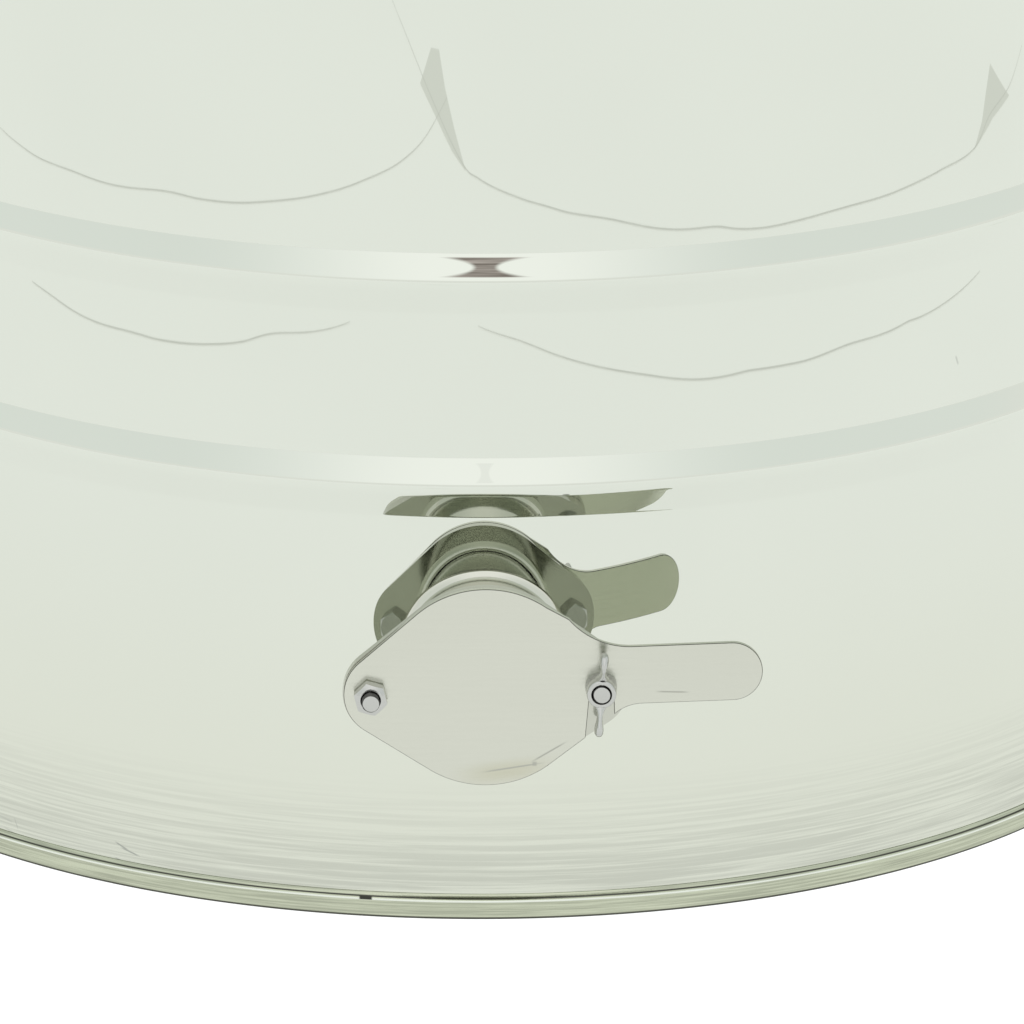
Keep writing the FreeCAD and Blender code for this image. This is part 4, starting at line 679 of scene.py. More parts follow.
def moulded(name, tone, roughness, grain=1400.0, strength=0.15):
    """Moulded plastic, rubber or silicone with a fine grain."""
    material, tree, shader = new_material(name)
    grains = object_noise(tree, EVEN, grain)
    patches = object_noise(tree, EVEN, 40.0)
    feed(tree, shader, {
        "Roughness": ranged(tree, patches, roughness * 0.85, roughness * 1.2),
        "Base Color": wandering(tree, patches, tone, 0.85, 1.2),
        "Normal": bumped(tree, (grains, strength, 0.0001))})
    return material


def clear_sheet(name, tone):
    """Clear acrylic with faint wiping marks."""
    material, tree, shader = new_material(name)
    smears = object_noise(tree, (1, 3, 1), 14.0, detail=4.0)
    feed(tree, shader, {
        "Transmission Weight": 1.0,
        "IOR": 1.49,
        "Roughness": ranged(tree, smears, 0.015, 0.07),
        "Base Color": mixed(tree, ranged(tree, smears, 0, 1), tone, shade(tone, 1.03)),
        "Normal": bumped(tree, (smears, 0.05, 0.0002))})
    return material


def mark(tree, place, half, turn=0.0, soft=0.6):
    """Mask of a straight mark on the drum's front: its middle, half sizes and turn."""
    mapping = node(tree, "ShaderNodeMapping",
                   {"Vector": own_place(tree), "Rotation": (0, turn, 0),
                    "Location": (place[0], -settings().drum.wall_radius, place[1]),
                    "Scale": (half[0], MARK_DEPTH, half[1])}, vector_type="TEXTURE")
    parts = separated(tree, mapping.outputs["Vector"])
    return product(tree, *(smooth(tree, calculated(tree, "ABSOLUTE", parts[axis]),
                                  1 - soft, 1, 1, 0) for axis in "XYZ"))


def scratched(tree, base, scratches, tone):
    """A base colour with scratches of another tone."""
    for place, half, turn in scratches:
        base = mixed(tree, mark(tree, place, half, turn), base, tone)
    return base


def blade_steel(name, tone):
    """The shutter blade: polished by hand, with a honey stain and fine scratches."""
    material = steel(name, tone, 0.20, (1, 30, 30), 40.0, 0.00002, wander=0.015, clouds=0.004)
    tree = material.node_tree
    shader = next(n for n in tree.nodes if n.type == "BSDF_PRINCIPLED")
    clean = shader.inputs["Base Color"].links[0].from_socket
    stain = mark(tree, (0.0070, 0.4462), (0.0220, 0.0055), -0.12, soft=0.9)
    stained = mixed(tree, stain, clean, (0.465, 0.460, 0.350))
    feed(tree, shader, {
        "Base Color": scratched(tree, stained, BLADE_SCRATCHES, shade(tone, 0.70))})
    return material


def drum_steel(name, tone, drum):
    """Mirror-polished sheet: fine polishing lines, rougher and brushed near the rim, painted shade
    low on the wall and near the rim, a painted reflection of a dark figure on each of the two
    lowest beads.
    """
    material, tree, shader = new_material(name)
    parts = separated(tree, own_place(tree))
    lines = object_noise(tree, ROUND, 14.0, detail=5.0, roughness=0.6)
    patches = object_noise(tree, EVEN, 9.0, detail=2.0)
    rim = drum.rim_height
    bead = rim + drum.bead_low
    low = smooth(tree, parts["Z"], rim + 0.006, rim + 0.055, 1, 0)
    # Painted shade: darker and warmer towards the bottom of the wall.
    lower_wall_shade = smooth(tree, parts["Z"], rim + 0.020, rim + 0.160, 1, 0)

    low_wall_shade_tone = hued(tone, LOW_WALL_SHADE_TINT)
    base = mixed(tree, lower_wall_shade, wandering(tree, patches, tone, 0.992, 1.008), low_wall_shade_tone)
    # Brushed streaks near the rim, darker as painted shade where the wall mirrors the shaded
    # floor.
    brushed = mixed(tree, ranged(tree, lines, 0, 1, 0.42, 0.60), shade(low_wall_shade_tone, 0.78),
                    shade(low_wall_shade_tone, 0.97))
    base = mixed(tree, low, base, brushed)
    # Painted reflections of a dark figure in front of the drum: faint on the lowest bead, strong
    # on the second.
    faint = figure_reflection_mask(tree, parts, bead + 0.0056, 0.0016, 0.002)
    base = mixed(tree, faint, base, shade(tone, 0.92))
    dark = figure_reflection_mask(tree, parts, bead + drum.bead_pitch + 0.0060, 0.0045, 0.0115)
    figure_reflection_tone = mixed(tree, ranged(tree, lines, 0, 1), (0.07, 0.060, 0.045), (0.36, 0.33, 0.29))
    base = mixed(tree, dark, base, figure_reflection_tone)

    rough = node(tree, "ShaderNodeMix",
                 {"Factor": low, "A": ranged(tree, lines, 0.005, 0.010),
                  "B": ranged(tree, lines, 0.07, 0.14)}, data_type="FLOAT")
    feed(tree, shader, {
        "Metallic": 1.0,
        "Roughness": rough.outputs["Result"],
        "Base Color": scratched(tree, base, WALL_SCRATCHES, shade(tone, 0.55)),
        "Normal": bumped(tree, (patches, 0.002, 0.002))})
    return material


def figure_reflection_mask(tree, parts, middle, waist, flare):
    """Mask of a painted reflection of a dark figure on a bead: narrow in its middle, wide at top
    and bottom.
    """
    level = ranged(tree, parts["Z"], -1, 1, middle - FIGURE_REFLECTION_HALF, middle + FIGURE_REFLECTION_HALF,
                   clamp=False)
    square = product(tree, level, level)
    width = ranged(tree, square, waist, waist + flare, 0, 1)
    share = calculated(tree, "DIVIDE", calculated(tree, "ABSOLUTE", parts["X"]), width)
    return product(tree, smooth(tree, share, 0.55, 1.1, 1, 0),
                   smooth(tree, square, 0.85, 1.1, 1, 0),
                   smooth(tree, parts["Y"], -0.01, 0, 1, 0))


def rim_steel(name, tone, drum):
    """The folded rim: brushed and darker as painted shade, with painted shade in the groove over a
    painted highlight on the ridge near its upper edge, and painted shade along its lower edge.
    """
    material, tree, shader = new_material(name)
    up = separated(tree, own_place(tree))["Z"]
    lines = object_noise(tree, ROUND, 26.0, detail=5.0, roughness=0.65)
    rim = drum.rim_height

    def stripe(start, full, fade, end):
        """Mask of a level stripe, measured up from the rim's lower edge."""
        return product(tree, smooth(tree, up, rim + start, rim + full, 0, 1),
                       smooth(tree, up, rim + fade, rim + end, 1, 0))

    # Painted shade: the whole rim darker than the wall.
    rim_shade_tone = hued(tone, RIM_SHADE_TINT)
    base = mixed(tree, ranged(tree, lines, 0, 1, 0.40, 0.62), shade(rim_shade_tone, 0.70),
                 shade(rim_shade_tone, 1.02))
    # Painted highlight on the ridge and painted shade in the groove above it.
    ridge = stripe(0.0062, 0.0065, 0.0068, 0.0071)
    groove = stripe(0.0072, 0.0074, 0.0076, 0.0078)
    nick = mark(tree, (-0.0401, rim + 0.0069), (0.0025, 0.0006), soft=0.3)
    # Painted shade along the rounded lower edge, where it mirrors the dark underside.
    edge = smooth(tree, up, rim + 0.0008, rim + 0.0011, 1, 0)
    for mask, other in ((ridge, shade(tone, 1.08)), (groove, (0.06, 0.062, 0.050)),
                        (nick, (0.04, 0.042, 0.034)), (edge, (0.07, 0.072, 0.058))):
        base = mixed(tree, mask, base, other)
    feed(tree, shader, {
        "Metallic": 1.0,
        "Roughness": ranged(tree, lines, 0.12, 0.24),
        "Base Color": base,
        "Normal": bumped(tree, (lines, 0.5, 0.00003))})
    return material


FINISHES = {}


def make_finishes():
    """Every finish of the extractor, by name."""
    colours = settings().colours
    FINISHES.update(
        drum=drum_steel("drum mirror steel", colours.drum, settings().drum),
        rim=rim_steel("rim steel", colours.drum, settings().drum),
        gate=steel("gate polished steel", colours.gate, 0.085, (1, 40, 1), 30.0, 0.00002,
                   wander=0.02, clouds=0.006),
        blade=blade_steel("blade polished steel", colours.gate),
        # Painted light: the blade's back is a lighter copy of the gate steel, so that its
        # reflection in the drum wall is brighter.
        back=steel("blade back steel", shade(colours.gate, 1.30), 0.16, (1, 30, 30), 40.0,
                   0.00002),
        # Painted shade: the flange is a darker copy of the gate steel, for the shade on it behind
        # the blade.
        flange=steel("flange steel", shade(colours.gate, 0.86), 0.10, (1, 40, 1), 30.0, 0.00002),
        # Painted shade: a near-black finish on the blade's bevels, which draws a dark outline
        # round the blade.
        cut=steel("cut plate edge", (0.060, 0.062, 0.050), 0.24, EVEN, 700.0, 0.00003,
                  wander=0.10),
        # Painted shade: a near-black finish on threads and bores, for the shade in their hollows.
        thread=steel("rolled thread", (0.070, 0.070, 0.064), 0.35, EVEN, 900.0, 0.00003,
                     wander=0.10),
        bolt=steel("turned bolt steel", colours.bolt, 0.16, EVEN, 400.0, 0.00003),
        frame=steel("brushed frame steel", colours.frame, 0.27, ROUND, 25.0, 0.00006),
        bar=steel("brushed bar steel", colours.frame, 0.27, (1, 60, 60), 25.0, 0.00006),
        shaft=steel("ground shaft steel", shade(colours.frame, 0.95), 0.16, ROUND, 60.0, 0.00003),
        crank=steel("ground crank steel", shade(colours.frame, 0.95), 0.16, ALONG_X, 40.0,
                    0.00003),
        gear=steel("machined gear steel", colours.gear, 0.30, EVEN, 500.0, 0.00005),
        basket=steel("basket steel", shade(colours.frame, 1.05), 0.20, ROUND, 30.0, 0.00004),
        alloy=cast_metal("cast alloy", colours.alloy),
        bronze=cast_metal("sintered bronze", colours.bronze),
        silicone=moulded("seal silicone", colours.silicone, 0.55),
        rubber=moulded("foot rubber", colours.rubber, 0.75, 500.0, 0.4),
        plastic=moulded("moulded plastic", colours.plastic, 0.28),
        acrylic=clear_sheet("clear acrylic", colours.acrylic),
    )


# ------------------------------------------------------------------ stage

# Routes of the sheets' edges on the floor, seen from above.
SHEET_EDGES = (
    ((-2.321, -0.438), (-2.229, -0.671), (-2.071, -1.019), (-1.803, -1.435), (-1.574, -1.678),
     (-1.277, -1.923), (-1.014, -2.096), (-0.739, -2.245), (-0.509, -2.352), (-0.362, -2.431),
     (-0.23, -2.531)),
    ((-0.641, -2.677), (-0.495, -2.607), (-0.328, -2.516), (-0.117, -2.402), (-0.011, -2.375),
     (0.232, -2.326), (0.468, -2.264), (0.81, -2.137), (1.234, -1.892), (1.43, -1.735),
     (1.707, -1.464), (1.916, -1.196), (2.091, -0.88), (2.209, -0.593), (2.292, -0.312),
     (2.364, -0.186), (2.421, 0.001), (2.495, 0.123)),
    ((-1.987, -0.616), (-1.898, -0.791), (-1.695, -1.121), (-1.545, -1.312), (-1.386, -1.485),
     (-1.22, -1.641), (-1.046, -1.785), (-0.706, -1.977)),
    ((-0.019, -2.099), (0.207, -2.062), (0.414, -2.001), (0.615, -1.925), (0.808, -1.834),
     (0.993, -1.723), (1.217, -1.568), (1.348, -1.461), (1.508, -1.296), (1.698, -1.062),
     (1.855, -0.782), (1.909, -0.658), (1.983, -0.458), (2.055, -0.24)),
)


# Painted shadows where corners of sheets stand up at a seam, seen from above.
FOLD_SHADOWS = (
    ((-0.350, -2.625), (-0.295, -2.628), (-0.246, -2.551), (-0.179, -2.473), (-0.098, -2.389),
     (-0.188, -2.424), (-0.297, -2.482), (-0.412, -2.537)),
    ((2.472, -0.196), (2.398, -0.008), (2.358, -0.158), (2.286, -0.320), (2.348, -0.258),
     (2.412, -0.228)),
)


FOLD_HEIGHT = 0.0004    # of the folds and seams above the floor
SEAM_HEIGHT = 0.0006


def smooth_route(points, steps):
    """A smooth line through points, steps for each stretch."""
    ends = [points[0], *points, points[-1]]
    route = []
    for a, b, c, d in zip(ends, ends[1:], ends[2:], ends[3:]):
        for k in range(steps):
            t = k / steps
            route.append(tuple(
                0.5 * (2 * b[i] + (c[i] - a[i]) * t
                       + (2 * a[i] - 5 * b[i] + 4 * c[i] - d[i]) * t * t
                       + (3 * b[i] - a[i] - 3 * c[i] + d[i]) * t ** 3) for i in (0, 1)))
    return [*route, points[-1]]


class EXTRACTOR_OT_stage(bpy.types.Operator):
    """Set up the floor, the soft studio light and the camera"""
    bl_idname = "extractor.stage"
    bl_label = "Stage"

    def execute(self, context):
        stage = settings().stage
        self.make_camera(context, stage)
        self.make_floor(stage)
        self.make_seams(stage)
        self.make_light(context, stage)
        context.scene.view_settings.view_transform = "Standard"
        context.scene.view_settings.look = "None"
        return {"FINISHED"}

    def make_camera(self, context, stage):
        c, s = math.cos(stage.camera_yaw), math.sin(stage.camera_yaw)
        cp, sp = math.cos(stage.camera_pitch), math.sin(stage.camera_pitch)
        cr, sr = math.cos(stage.camera_roll), math.sin(stage.camera_roll)
        right = Vector((c, s, 0))
        ahead = Vector((-cp * s, cp * c, -sp))
        up = Vector((-sp * s, sp * c, cp))
        axes = Matrix((cr * right + sr * up, -sr * right + cr * up, -ahead)).transposed()
        data = bpy.data.cameras.new("Camera")
        data.lens = stage.lens
        data.sensor_width = 36
        data.clip_end = 100
        camera = bpy.data.objects.new("Camera", data)
        context.collection.objects.link(camera)
        camera.matrix_world = (Matrix.Rotation(stage.camera_orbit, 4, "Z")
                               @ Matrix.Translation(stage.camera_place) @ axes.to_4x4())
        context.scene.camera = camera

    def make_floor(self, stage):
        bm = bmesh.new()
        bmesh.ops.create_grid(bm, x_segments=1, y_segments=1, size=stage.floor_half)
        floor = add_object("Floor", mesh_from("Floor", bm))
        material, tree, shader = new_material("pale floor")
        feed(tree, shader, {
            "Roughness": 0.9,
            "Specular IOR Level": 0.1,
            "Base Color": (*stage.floor_colour, 1),
            "Emission Color": (1, 1, 1, 1),
            "Emission Strength": stage.floor_glow})
        floor.data.materials.append(material)

    def paper(self, name, tone):
        """Paper that gives off its own pale light, like the floor; here its grey paints the shade
        of the seams and folds.
        """
        material, tree, shader = new_material(name)
        feed(tree, shader, {
            "Roughness": 0.9,
            "Base Color": (*tone, 1),
            "Emission Color": (*tone, 1),
            "Emission Strength": 1})
        return material

    def make_seams(self, stage):
        """Painted shade along the edges of the paper sheets in front of the drum, and painted
        shadows at their raised corners, which its wall mirrors.
        """
        # Painted shade: a glowing grey strip along each sheet edge.
        material = self.paper("paper seam", stage.seam_shade_colour)
        fold = self.paper("paper fold", shade(stage.seam_shade_colour, 1.16))
        # Painted shadow: each fold is a flat glowing grey patch on the floor.
        for number, points in enumerate(FOLD_SHADOWS, 1):
            mesh = bpy.data.meshes.new(f"Sheet_fold_{number}")
            mesh.from_pydata([(x, y, FOLD_HEIGHT) for x, y in points], [], [range(len(points))])
            mesh.materials.append(fold)
            add_object(f"Sheet_fold_{number}", mesh)
        for number, route in enumerate(SHEET_EDGES, 1):
            points = smooth_route(route, 24)
            bm = bmesh.new()
            sides = []
            for k, (x, y) in enumerate(points):
                before, after = points[max(k - 1, 0)], points[min(k + 1, len(points) - 1)]
                along = Vector((after[0] - before[0], after[1] - before[1])).normalized()
                part = k / (len(points) - 1)
                half = stage.seam_width / 2 * (0.35 + 0.65 * math.sin(math.pi * part) ** 0.5)
                sides.append([bm.verts.new((x - along.y * half * s, y + along.x * half * s,
                                            SEAM_HEIGHT)) for s in (-1, 1)])
            for first, second in zip(sides, sides[1:]):
                bm.faces.new((first[0], second[0], second[1], first[1]))
            mesh = mesh_from(f"Sheet_edge_{number}", bm)
            mesh.materials.append(material)
            add_object(f"Sheet_edge_{number}", mesh)

    def make_light(self, context, stage):
        """Even studio light: white near the floor, brightest over the camera."""
        world = bpy.data.worlds.new("Studio")
        world.use_nodes = True
        tree = world.node_tree
        background = next(n for n in tree.nodes if n.type == "BACKGROUND")
        parts = separated(tree, node(tree, "ShaderNodeTexCoord").outputs["Generated"])
        centred = smooth(tree, calculated(tree, "ABSOLUTE", parts["X"]), 0.10, 0.75, 1, 0)
        ahead = smooth(tree, parts["Y"], -0.25, 0.15, 1, 0)
        raised = smooth(tree, parts["Z"], 0.02, 0.10, 0, 1)
        sky = mixed(tree, product(tree, centred, ahead), stage.side_light, stage.front_light)
        feed(tree, background, {"Color": mixed(tree, raised, stage.horizon_light, sky)})
        context.scene.world = world


# ------------------------------------------------------------------ drum

def flank_points(start, end):
    """Points on a straight flank, close to both ends, so that its light stays even."""
    return [tuple(a + (b - a) * part for a, b in zip(start, end)) for part in (0.04, 0.5, 0.96)]


class EXTRACTOR_OT_drum(bpy.types.Operator):
    """Make the drum wall with its rolled beads, the folded rim and the conical floor"""
    bl_idname = "extractor.drum"
    bl_label = "Drum"

    def execute(self, context):
        drum = settings().drum
        self.make_wall(drum)
        self.make_band(drum)
        self.make_pan(drum)
        return {"FINISHED"}

    def bead(self, drum, middle, inset):
        """Outline of one bead, upwards, on the sheet's outside or inset from it."""
        c, s = math.cos(drum.bead_slope), math.sin(drum.bead_slope)
        turn = math.degrees(drum.bead_slope)
        foot = drum.wall_radius + drum.bead_foot
        flank = drum.bead_half - (drum.bead_foot + drum.bead_crown) * s
        centre = foot - (drum.bead_foot + drum.bead_crown) * c + flank * s / c
        lower = arc((foot, middle - drum.bead_half), drum.bead_foot + inset, 180, 180 - turn, 3)
        crown = arc((centre, middle), drum.bead_crown - inset, -turn, turn, 24)
        upper = arc((foot, middle + drum.bead_half), drum.bead_foot + inset, 180 + turn, 180, 3)
        return joined(lower, flank_points(lower[-1], crown[0]), crown,
                      flank_points(crown[-1], upper[0]), upper)

    def make_wall(self, drum):
        middles = [drum.rim_height + drum.bead_low + drum.bead_pitch * n + drum.pair_pitch * pair
                   for pair in (0, 1) for n in (0, 1)]
        curl_x = drum.wall_radius - drum.sheet + drum.curl_radius
        curl_z = drum.top_height - drum.curl_radius
        outside = [(drum.wall_radius, drum.rim_height)]
        inside = [(drum.wall_radius - drum.sheet, drum.rim_height)]
        for middle in middles:
            outside += self.bead(drum, middle, 0)
            inside += self.bead(drum, middle, drum.sheet)
        curl_out = arc((curl_x, curl_z), drum.curl_radius - drum.sheet, 180, -90, 18)
        curl_in = arc((curl_x, curl_z), drum.curl_radius, -90, 180, 18)
        wall = lathe("drum_wall_skin", joined(outside, curl_out, curl_in, inside[::-1]),
                     drum.steps_round)
        gate = settings().gate
        outlet = place_mesh(rod(gate.pipe_radius + GAP, 0.15, 0.35, segments=96),
                            shift(z=drum.rim_height + gate.axis_height) @ rotation(90, "X"))
        cut_away(wall, outlet, *leg_hole_tools(drum))
        round_normals(wall)
        finish_piece(wall, "stand", "drum", "drum_wall")

    def make_band(self, drum):
        """The folded lower rim: a ridge under the groove, a flat face and a rounded edge."""
        wall, low, high = drum.wall_radius, drum.rim_height, drum.rim_height + 0.0087
        points = joined(
            [(wall + GAP, low), (wall + 0.0010, low)],
            arc((wall + 0.0010, low + 0.0008), 0.0008, -90, 0, 6),
            [(wall + 0.0020, low + 0.0058)],
            arc((wall + 0.0012, low + 0.0066), 0.0008, 0, 60, 6),
            [(wall + 0.0007, low + 0.0080), (wall + 0.0003, high), (wall + GAP, high)])
        band = lathe("rim_band_skin", points, drum.steps_round, sharp=50)
        finish_piece(band, "stand", "rim", "rim_band")

    def make_pan(self, drum):
        low, high = extent("floor_pan")
        edge = extent("floor_pan", "x")[1]
        sheet, flat, bend = 0.0012, 0.030, 0.004
        lip = low + 0.0126
        centre = (edge - bend, lip - bend)
        points = joined(
            [(0, high), (flat, high), (edge - bend, lip)],
            arc(centre, bend, 80, 0, 8),
            [(edge, low), (edge - sheet, low)],
            arc(centre, bend - sheet, 0, 80, 6),
            [(flat, high - sheet), (0, high - sheet)])
        pan = lathe("floor_pan_skin", points, drum.steps_round // 2, closed=False, sharp=50)
        finish_piece(pan, "stand", "drum", "floor_pan")


def leg_hole_tools(drum):
    """Bars that cut the holes for the leg bolts, taken from the bolts' own places."""
    spots = {(round(math.degrees(math.atan2(y, x))), round(z, 4))
             for x, y, z in loose_centres("leg_bolts")}
    return [place_mesh(rod(0.0042, -0.010, 0.010, segments=24),
                       shift(z=level) @ rotation(degrees, "Z") @ shift(drum.wall_radius)
                       @ rotation(90, "Y"))
            for degrees, level in sorted(spots)]


def loose_centres(node):
    """Centre of the box of each loose solid of a CAD node."""
    bm = bmesh.new()
    bm.from_mesh(frame["nodes"][node].data)
    bmesh.ops.remove_doubles(bm, verts=bm.verts, dist=WELDED)
    seen, centres = set(), []
    for start in bm.verts:
        if start.index in seen:
            continue
        todo, solid = [start], []
        seen.add(start.index)
        while todo:
            vert = todo.pop()
            solid.append(vert.co.copy())
            for edge in vert.link_edges:
                other = edge.other_vert(vert)
                if other.index not in seen:
                    seen.add(other.index)
                    todo.append(other)
        low = Vector([min(co[i] for co in solid) for i in range(3)])
        high = Vector([max(co[i] for co in solid) for i in range(3)])
        centres.append((low + high) / 2)
    bm.free()
    return centres


def round_normals(wall):
    """Point the normals of the plain wall straight away from the drum's axis.

    The faces of the beads and of the holes' edges keep their own normals.
    """
    level, outward = 0.001, 0.99
    mesh = wall.data
    normals = [Vector((0, 0, 0))] * len(mesh.loops)
    for face in mesh.polygons:
        middle = Vector((face.center.x, face.center.y, 0))
        if (abs(face.normal.z) > level
                or abs(face.normal.dot(middle.normalized())) < outward):
            continue
        sign = 1 if face.normal.dot(middle) > 0 else -1
        for loop in face.loop_indices:
            co = mesh.vertices[mesh.loops[loop].vertex_index].co
            normals[loop] = Vector((co.x, co.y, 0)).normalized() * sign
    mesh.normals_split_custom_set(normals)


# ------------------------------------------------------------------ honey gate

def gate_matrix():
    """From the gate's own axes (right, up, out of the wall) to the drum's."""
    drum, gate = settings().drum, settings().gate
    c, s = math.cos(gate.tilt), math.sin(gate.tilt)
    axes = Matrix(((c, -s, 0), (0, 0, -1), (s, c, 0))).to_4x4()
    return shift(0, -drum.wall_radius, drum.rim_height + gate.axis_height) @ axes


def tangent(middle, end, reach, drop, side):
    """Angle of the normal of a line that touches a middle round and an end round.

    The end round lies reach to the right and drop below.  side is 1 for the line
    above both rounds and -1 for the line below them.
    """
    span = math.hypot(reach, drop)
    return math.degrees(side * math.acos((middle - end) / span) - math.atan2(drop, reach))


def diamond(middle, end, reach, drop, steps=48):
    """Outline of a round with two smaller rounds joined to it by straight tangents."""
    up, low = tangent(middle, end, reach, drop, 1), tangent(middle, end, reach, drop, -1)
    return joined(
        arc((reach, -drop), end, low, up, 24),
        arc((0, 0), middle, up, 180 - up, steps),
        arc((-reach, -drop), end, 180 - up, 180 - low, 24),
        arc((0, 0), middle, 180 - low, 360 + low, steps))


def blade_outline(gate):
    """Outline of the shutter blade with its handle."""
    drop, middle = gate.blade_drop, gate.blade_round
    end, reach = gate.blade_end, gate.blade_reach
    up = tangent(middle, end, reach, gate.bolt_drop - drop, 1)
    down = tangent(middle, end, reach, gate.bolt_drop - drop, -1)
    lean = (middle - end) / reach
    rise = math.sqrt(1 - lean * lean)
    open_angle = math.degrees(math.acos(lean))
    turn_in = (1 - rise) / lean
    top, low = gate.handle_rise + gate.handle_half, gate.handle_rise - gate.handle_half
    top_corner = (middle - (top + drop) * rise) / lean
    low_corner = (middle + (low + drop) * rise) / lean
    top_x = top_corner + gate.handle_fillet * turn_in
    low_x = low_corner + gate.handle_nook * turn_in
    return joined(
        arc((gate.handle_reach, gate.handle_rise), gate.handle_half, -90, 90, 32),
        arc((top_x, top + gate.handle_fillet), gate.handle_fillet, -90, -90 - open_angle, 20),
        arc((0, -drop), middle, open_angle, 180 - up, 48),
        arc((-reach, -gate.bolt_drop), end, 180 - up, 180 - down, 28),
        arc((0, -drop), middle, 180 - down, 360 - open_angle, 48),
        arc((low_x, low - gate.handle_nook), gate.handle_nook, 90 + open_angle, 90, 16))


class EXTRACTOR_OT_gate(bpy.types.Operator):
    """Make the outlet pipe with its weld, the flange and its seal"""
    bl_idname = "extractor.gate"
    bl_label = "Honey gate"

    def execute(self, context):
        gate = settings().gate
        self.make_pipe(gate)
        self.make_weld(gate)
        self.make_flange(gate)
        return {"FINISHED"}

    def make_pipe(self, gate):
        outer, inner = gate.pipe_radius, gate.pipe_radius - gate.pipe_wall
        front = gate.flange_stand + gate.flange_thick - LIFT
        back = -settings().drum.sheet
        ease = 0.0003
        points = joined(
            [(inner, back), (outer, back), (outer, front - ease)],
            arc((outer - ease, front - ease), ease, 0, 90, 4),
            arc((inner + ease, front - ease), ease, 90, 180, 4))
        pipe = lathe("outlet_pipe", points, 128)
        place_mesh(pipe, gate_matrix())
        finish_piece(pipe, "stand", "gate", "gate_pipe")

    def make_weld(self, gate):
        """Ground fillets where the pipe meets the drum and the back of the flange."""
        wall = settings().drum.wall_radius
        leg, gap, steps, across = 0.0030, 0.00006, 240, 12
        touch = gate.pipe_radius + gap
        section = [(leg * (1 - math.sin(part)), leg * (1 - math.cos(part)))
                   for part in (j / across * math.pi / 2 for j in range(across + 1))]
        bm = bmesh.new()
        rings = []
        for k in range(steps):
            ring = []
            for out, rise in [*section, (0, 0)]:
                x = (touch + out) * math.cos(TURN * k / steps)
                y = (touch + out) * math.sin(TURN * k / steps)
                sink = wall - math.sqrt(wall ** 2 - x * x)
                ring.append(bm.verts.new((x, y, rise - sink + gap)))
            rings.append(ring)
        for k in range(steps):
            ring, after = rings[k], rings[(k + 1) % steps]
            for j in range(len(ring)):
                nxt = (j + 1) % len(ring)
                bm.faces.new((ring[j], after[j], after[nxt], ring[nxt]))
        front = object_from("Fillet", bm, sharp=60)
        high = gate.flange_stand - gap
        back = lathe("Fillet", joined(
            arc((touch + leg, high - leg), leg, 180, 90, across), [(touch, high)]),
            steps, sharp=60)
        weld = one_mesh("pipe_weld", front, back)
        place_mesh(weld, gate_matrix())
        finish_piece(weld, "stand", "gate", "gate_weld")

    def make_flange(self, gate):
        low = gate.flange_stand
        high = low + gate.flange_thick
        flange = prism("gate_flange_plate",
                       diamond(gate.flange_round, gate.flange_end, gate.flange_reach,
                               gate.bolt_drop), low, high)
        below, above = low - 0.01, high + 0.01
        holes = [rod(gate.bolt_radius + GAP, below, above, gate.bolt_reach * side,
                     -gate.bolt_drop, 48) for side in (-1, 1)]
        groove, width, depth = 0.0274, 0.0030, 0.0015
        ring = lathe("Tool", [(groove, high - depth), (groove + width, high - depth),
                              (groove + width, above), (groove, above)], 128)
        cut_away(flange, rod(gate.pipe_radius + GAP, below, above, segments=128), *holes, ring)
        eased(flange, 0.0003)
        place_mesh(flange, gate_matrix())
        finish_piece(flange, "stand", "flange", "gate_flange")

        inner, outer, shoulder = groove + GAP, groove + width - GAP, high - 0.0004
        crown = (outer - inner) / 2
        seal = lathe("gate_seal_ring", joined(
            [(inner, high - depth), (outer, high - depth), (outer, shoulder)],
            arc((outer - crown, shoulder), crown, 0, 180, 10)), 128)
        for vertex in seal.data.vertices:
            vertex.co.z = min(vertex.co.z, high)
        place_mesh(seal, gate_matrix())
        finish_piece(seal, "stand", "silicone", "gate_seal")


class EXTRACTOR_OT_blade(bpy.types.Operator):
    """Make the shutter blade with its handle and its open slot"""
    bl_idname = "extractor.blade"
    bl_label = "Shutter blade"

    def execute(self, context):
        gate = settings().gate
        back = gate.flange_stand + gate.flange_thick + LIFT
        front = back + gate.blade_thick
        blade = prism("shutter_blade", blade_outline(gate), back, front)
        bolt, level = gate.bolt_reach, -gate.bolt_drop
        hole = rod(gate.bolt_radius + GAP, back - 0.01, front + 0.01, -bolt, level, 48)
        near, far, slant, depth = 0.0036, 0.0041, 0.0032, 0.026
        middle, half = (far - near) / 2, (far + near) / 2
        slot = prism("Tool", joined(
            arc((bolt + middle, level), half, 0, 180, 24),
            [(bolt - near - slant, level - depth), (bolt + far, level - depth)]),
            back - 0.01, front + 0.01)
        cut_away(blade, hole, slot)
        eased(blade, 0.00042, segments=1)
        place_mesh(blade, gate_matrix())
        # The bevels take the near-black finish, a painted shade outline.
        finish_piece(blade, "blade", "blade", "gate_blade", edge="cut", least=0.3)
        # The back face takes the lighter copy of the gate steel, a painted light.
        blade.data.materials.append(FINISHES["back"])
        for face in blade.data.polygons:
            if face.normal.y > SQUARE:
                face.material_index = len(blade.data.materials) - 1
        return {"FINISHED"}


# ------------------------------------------------------------------ fasteners

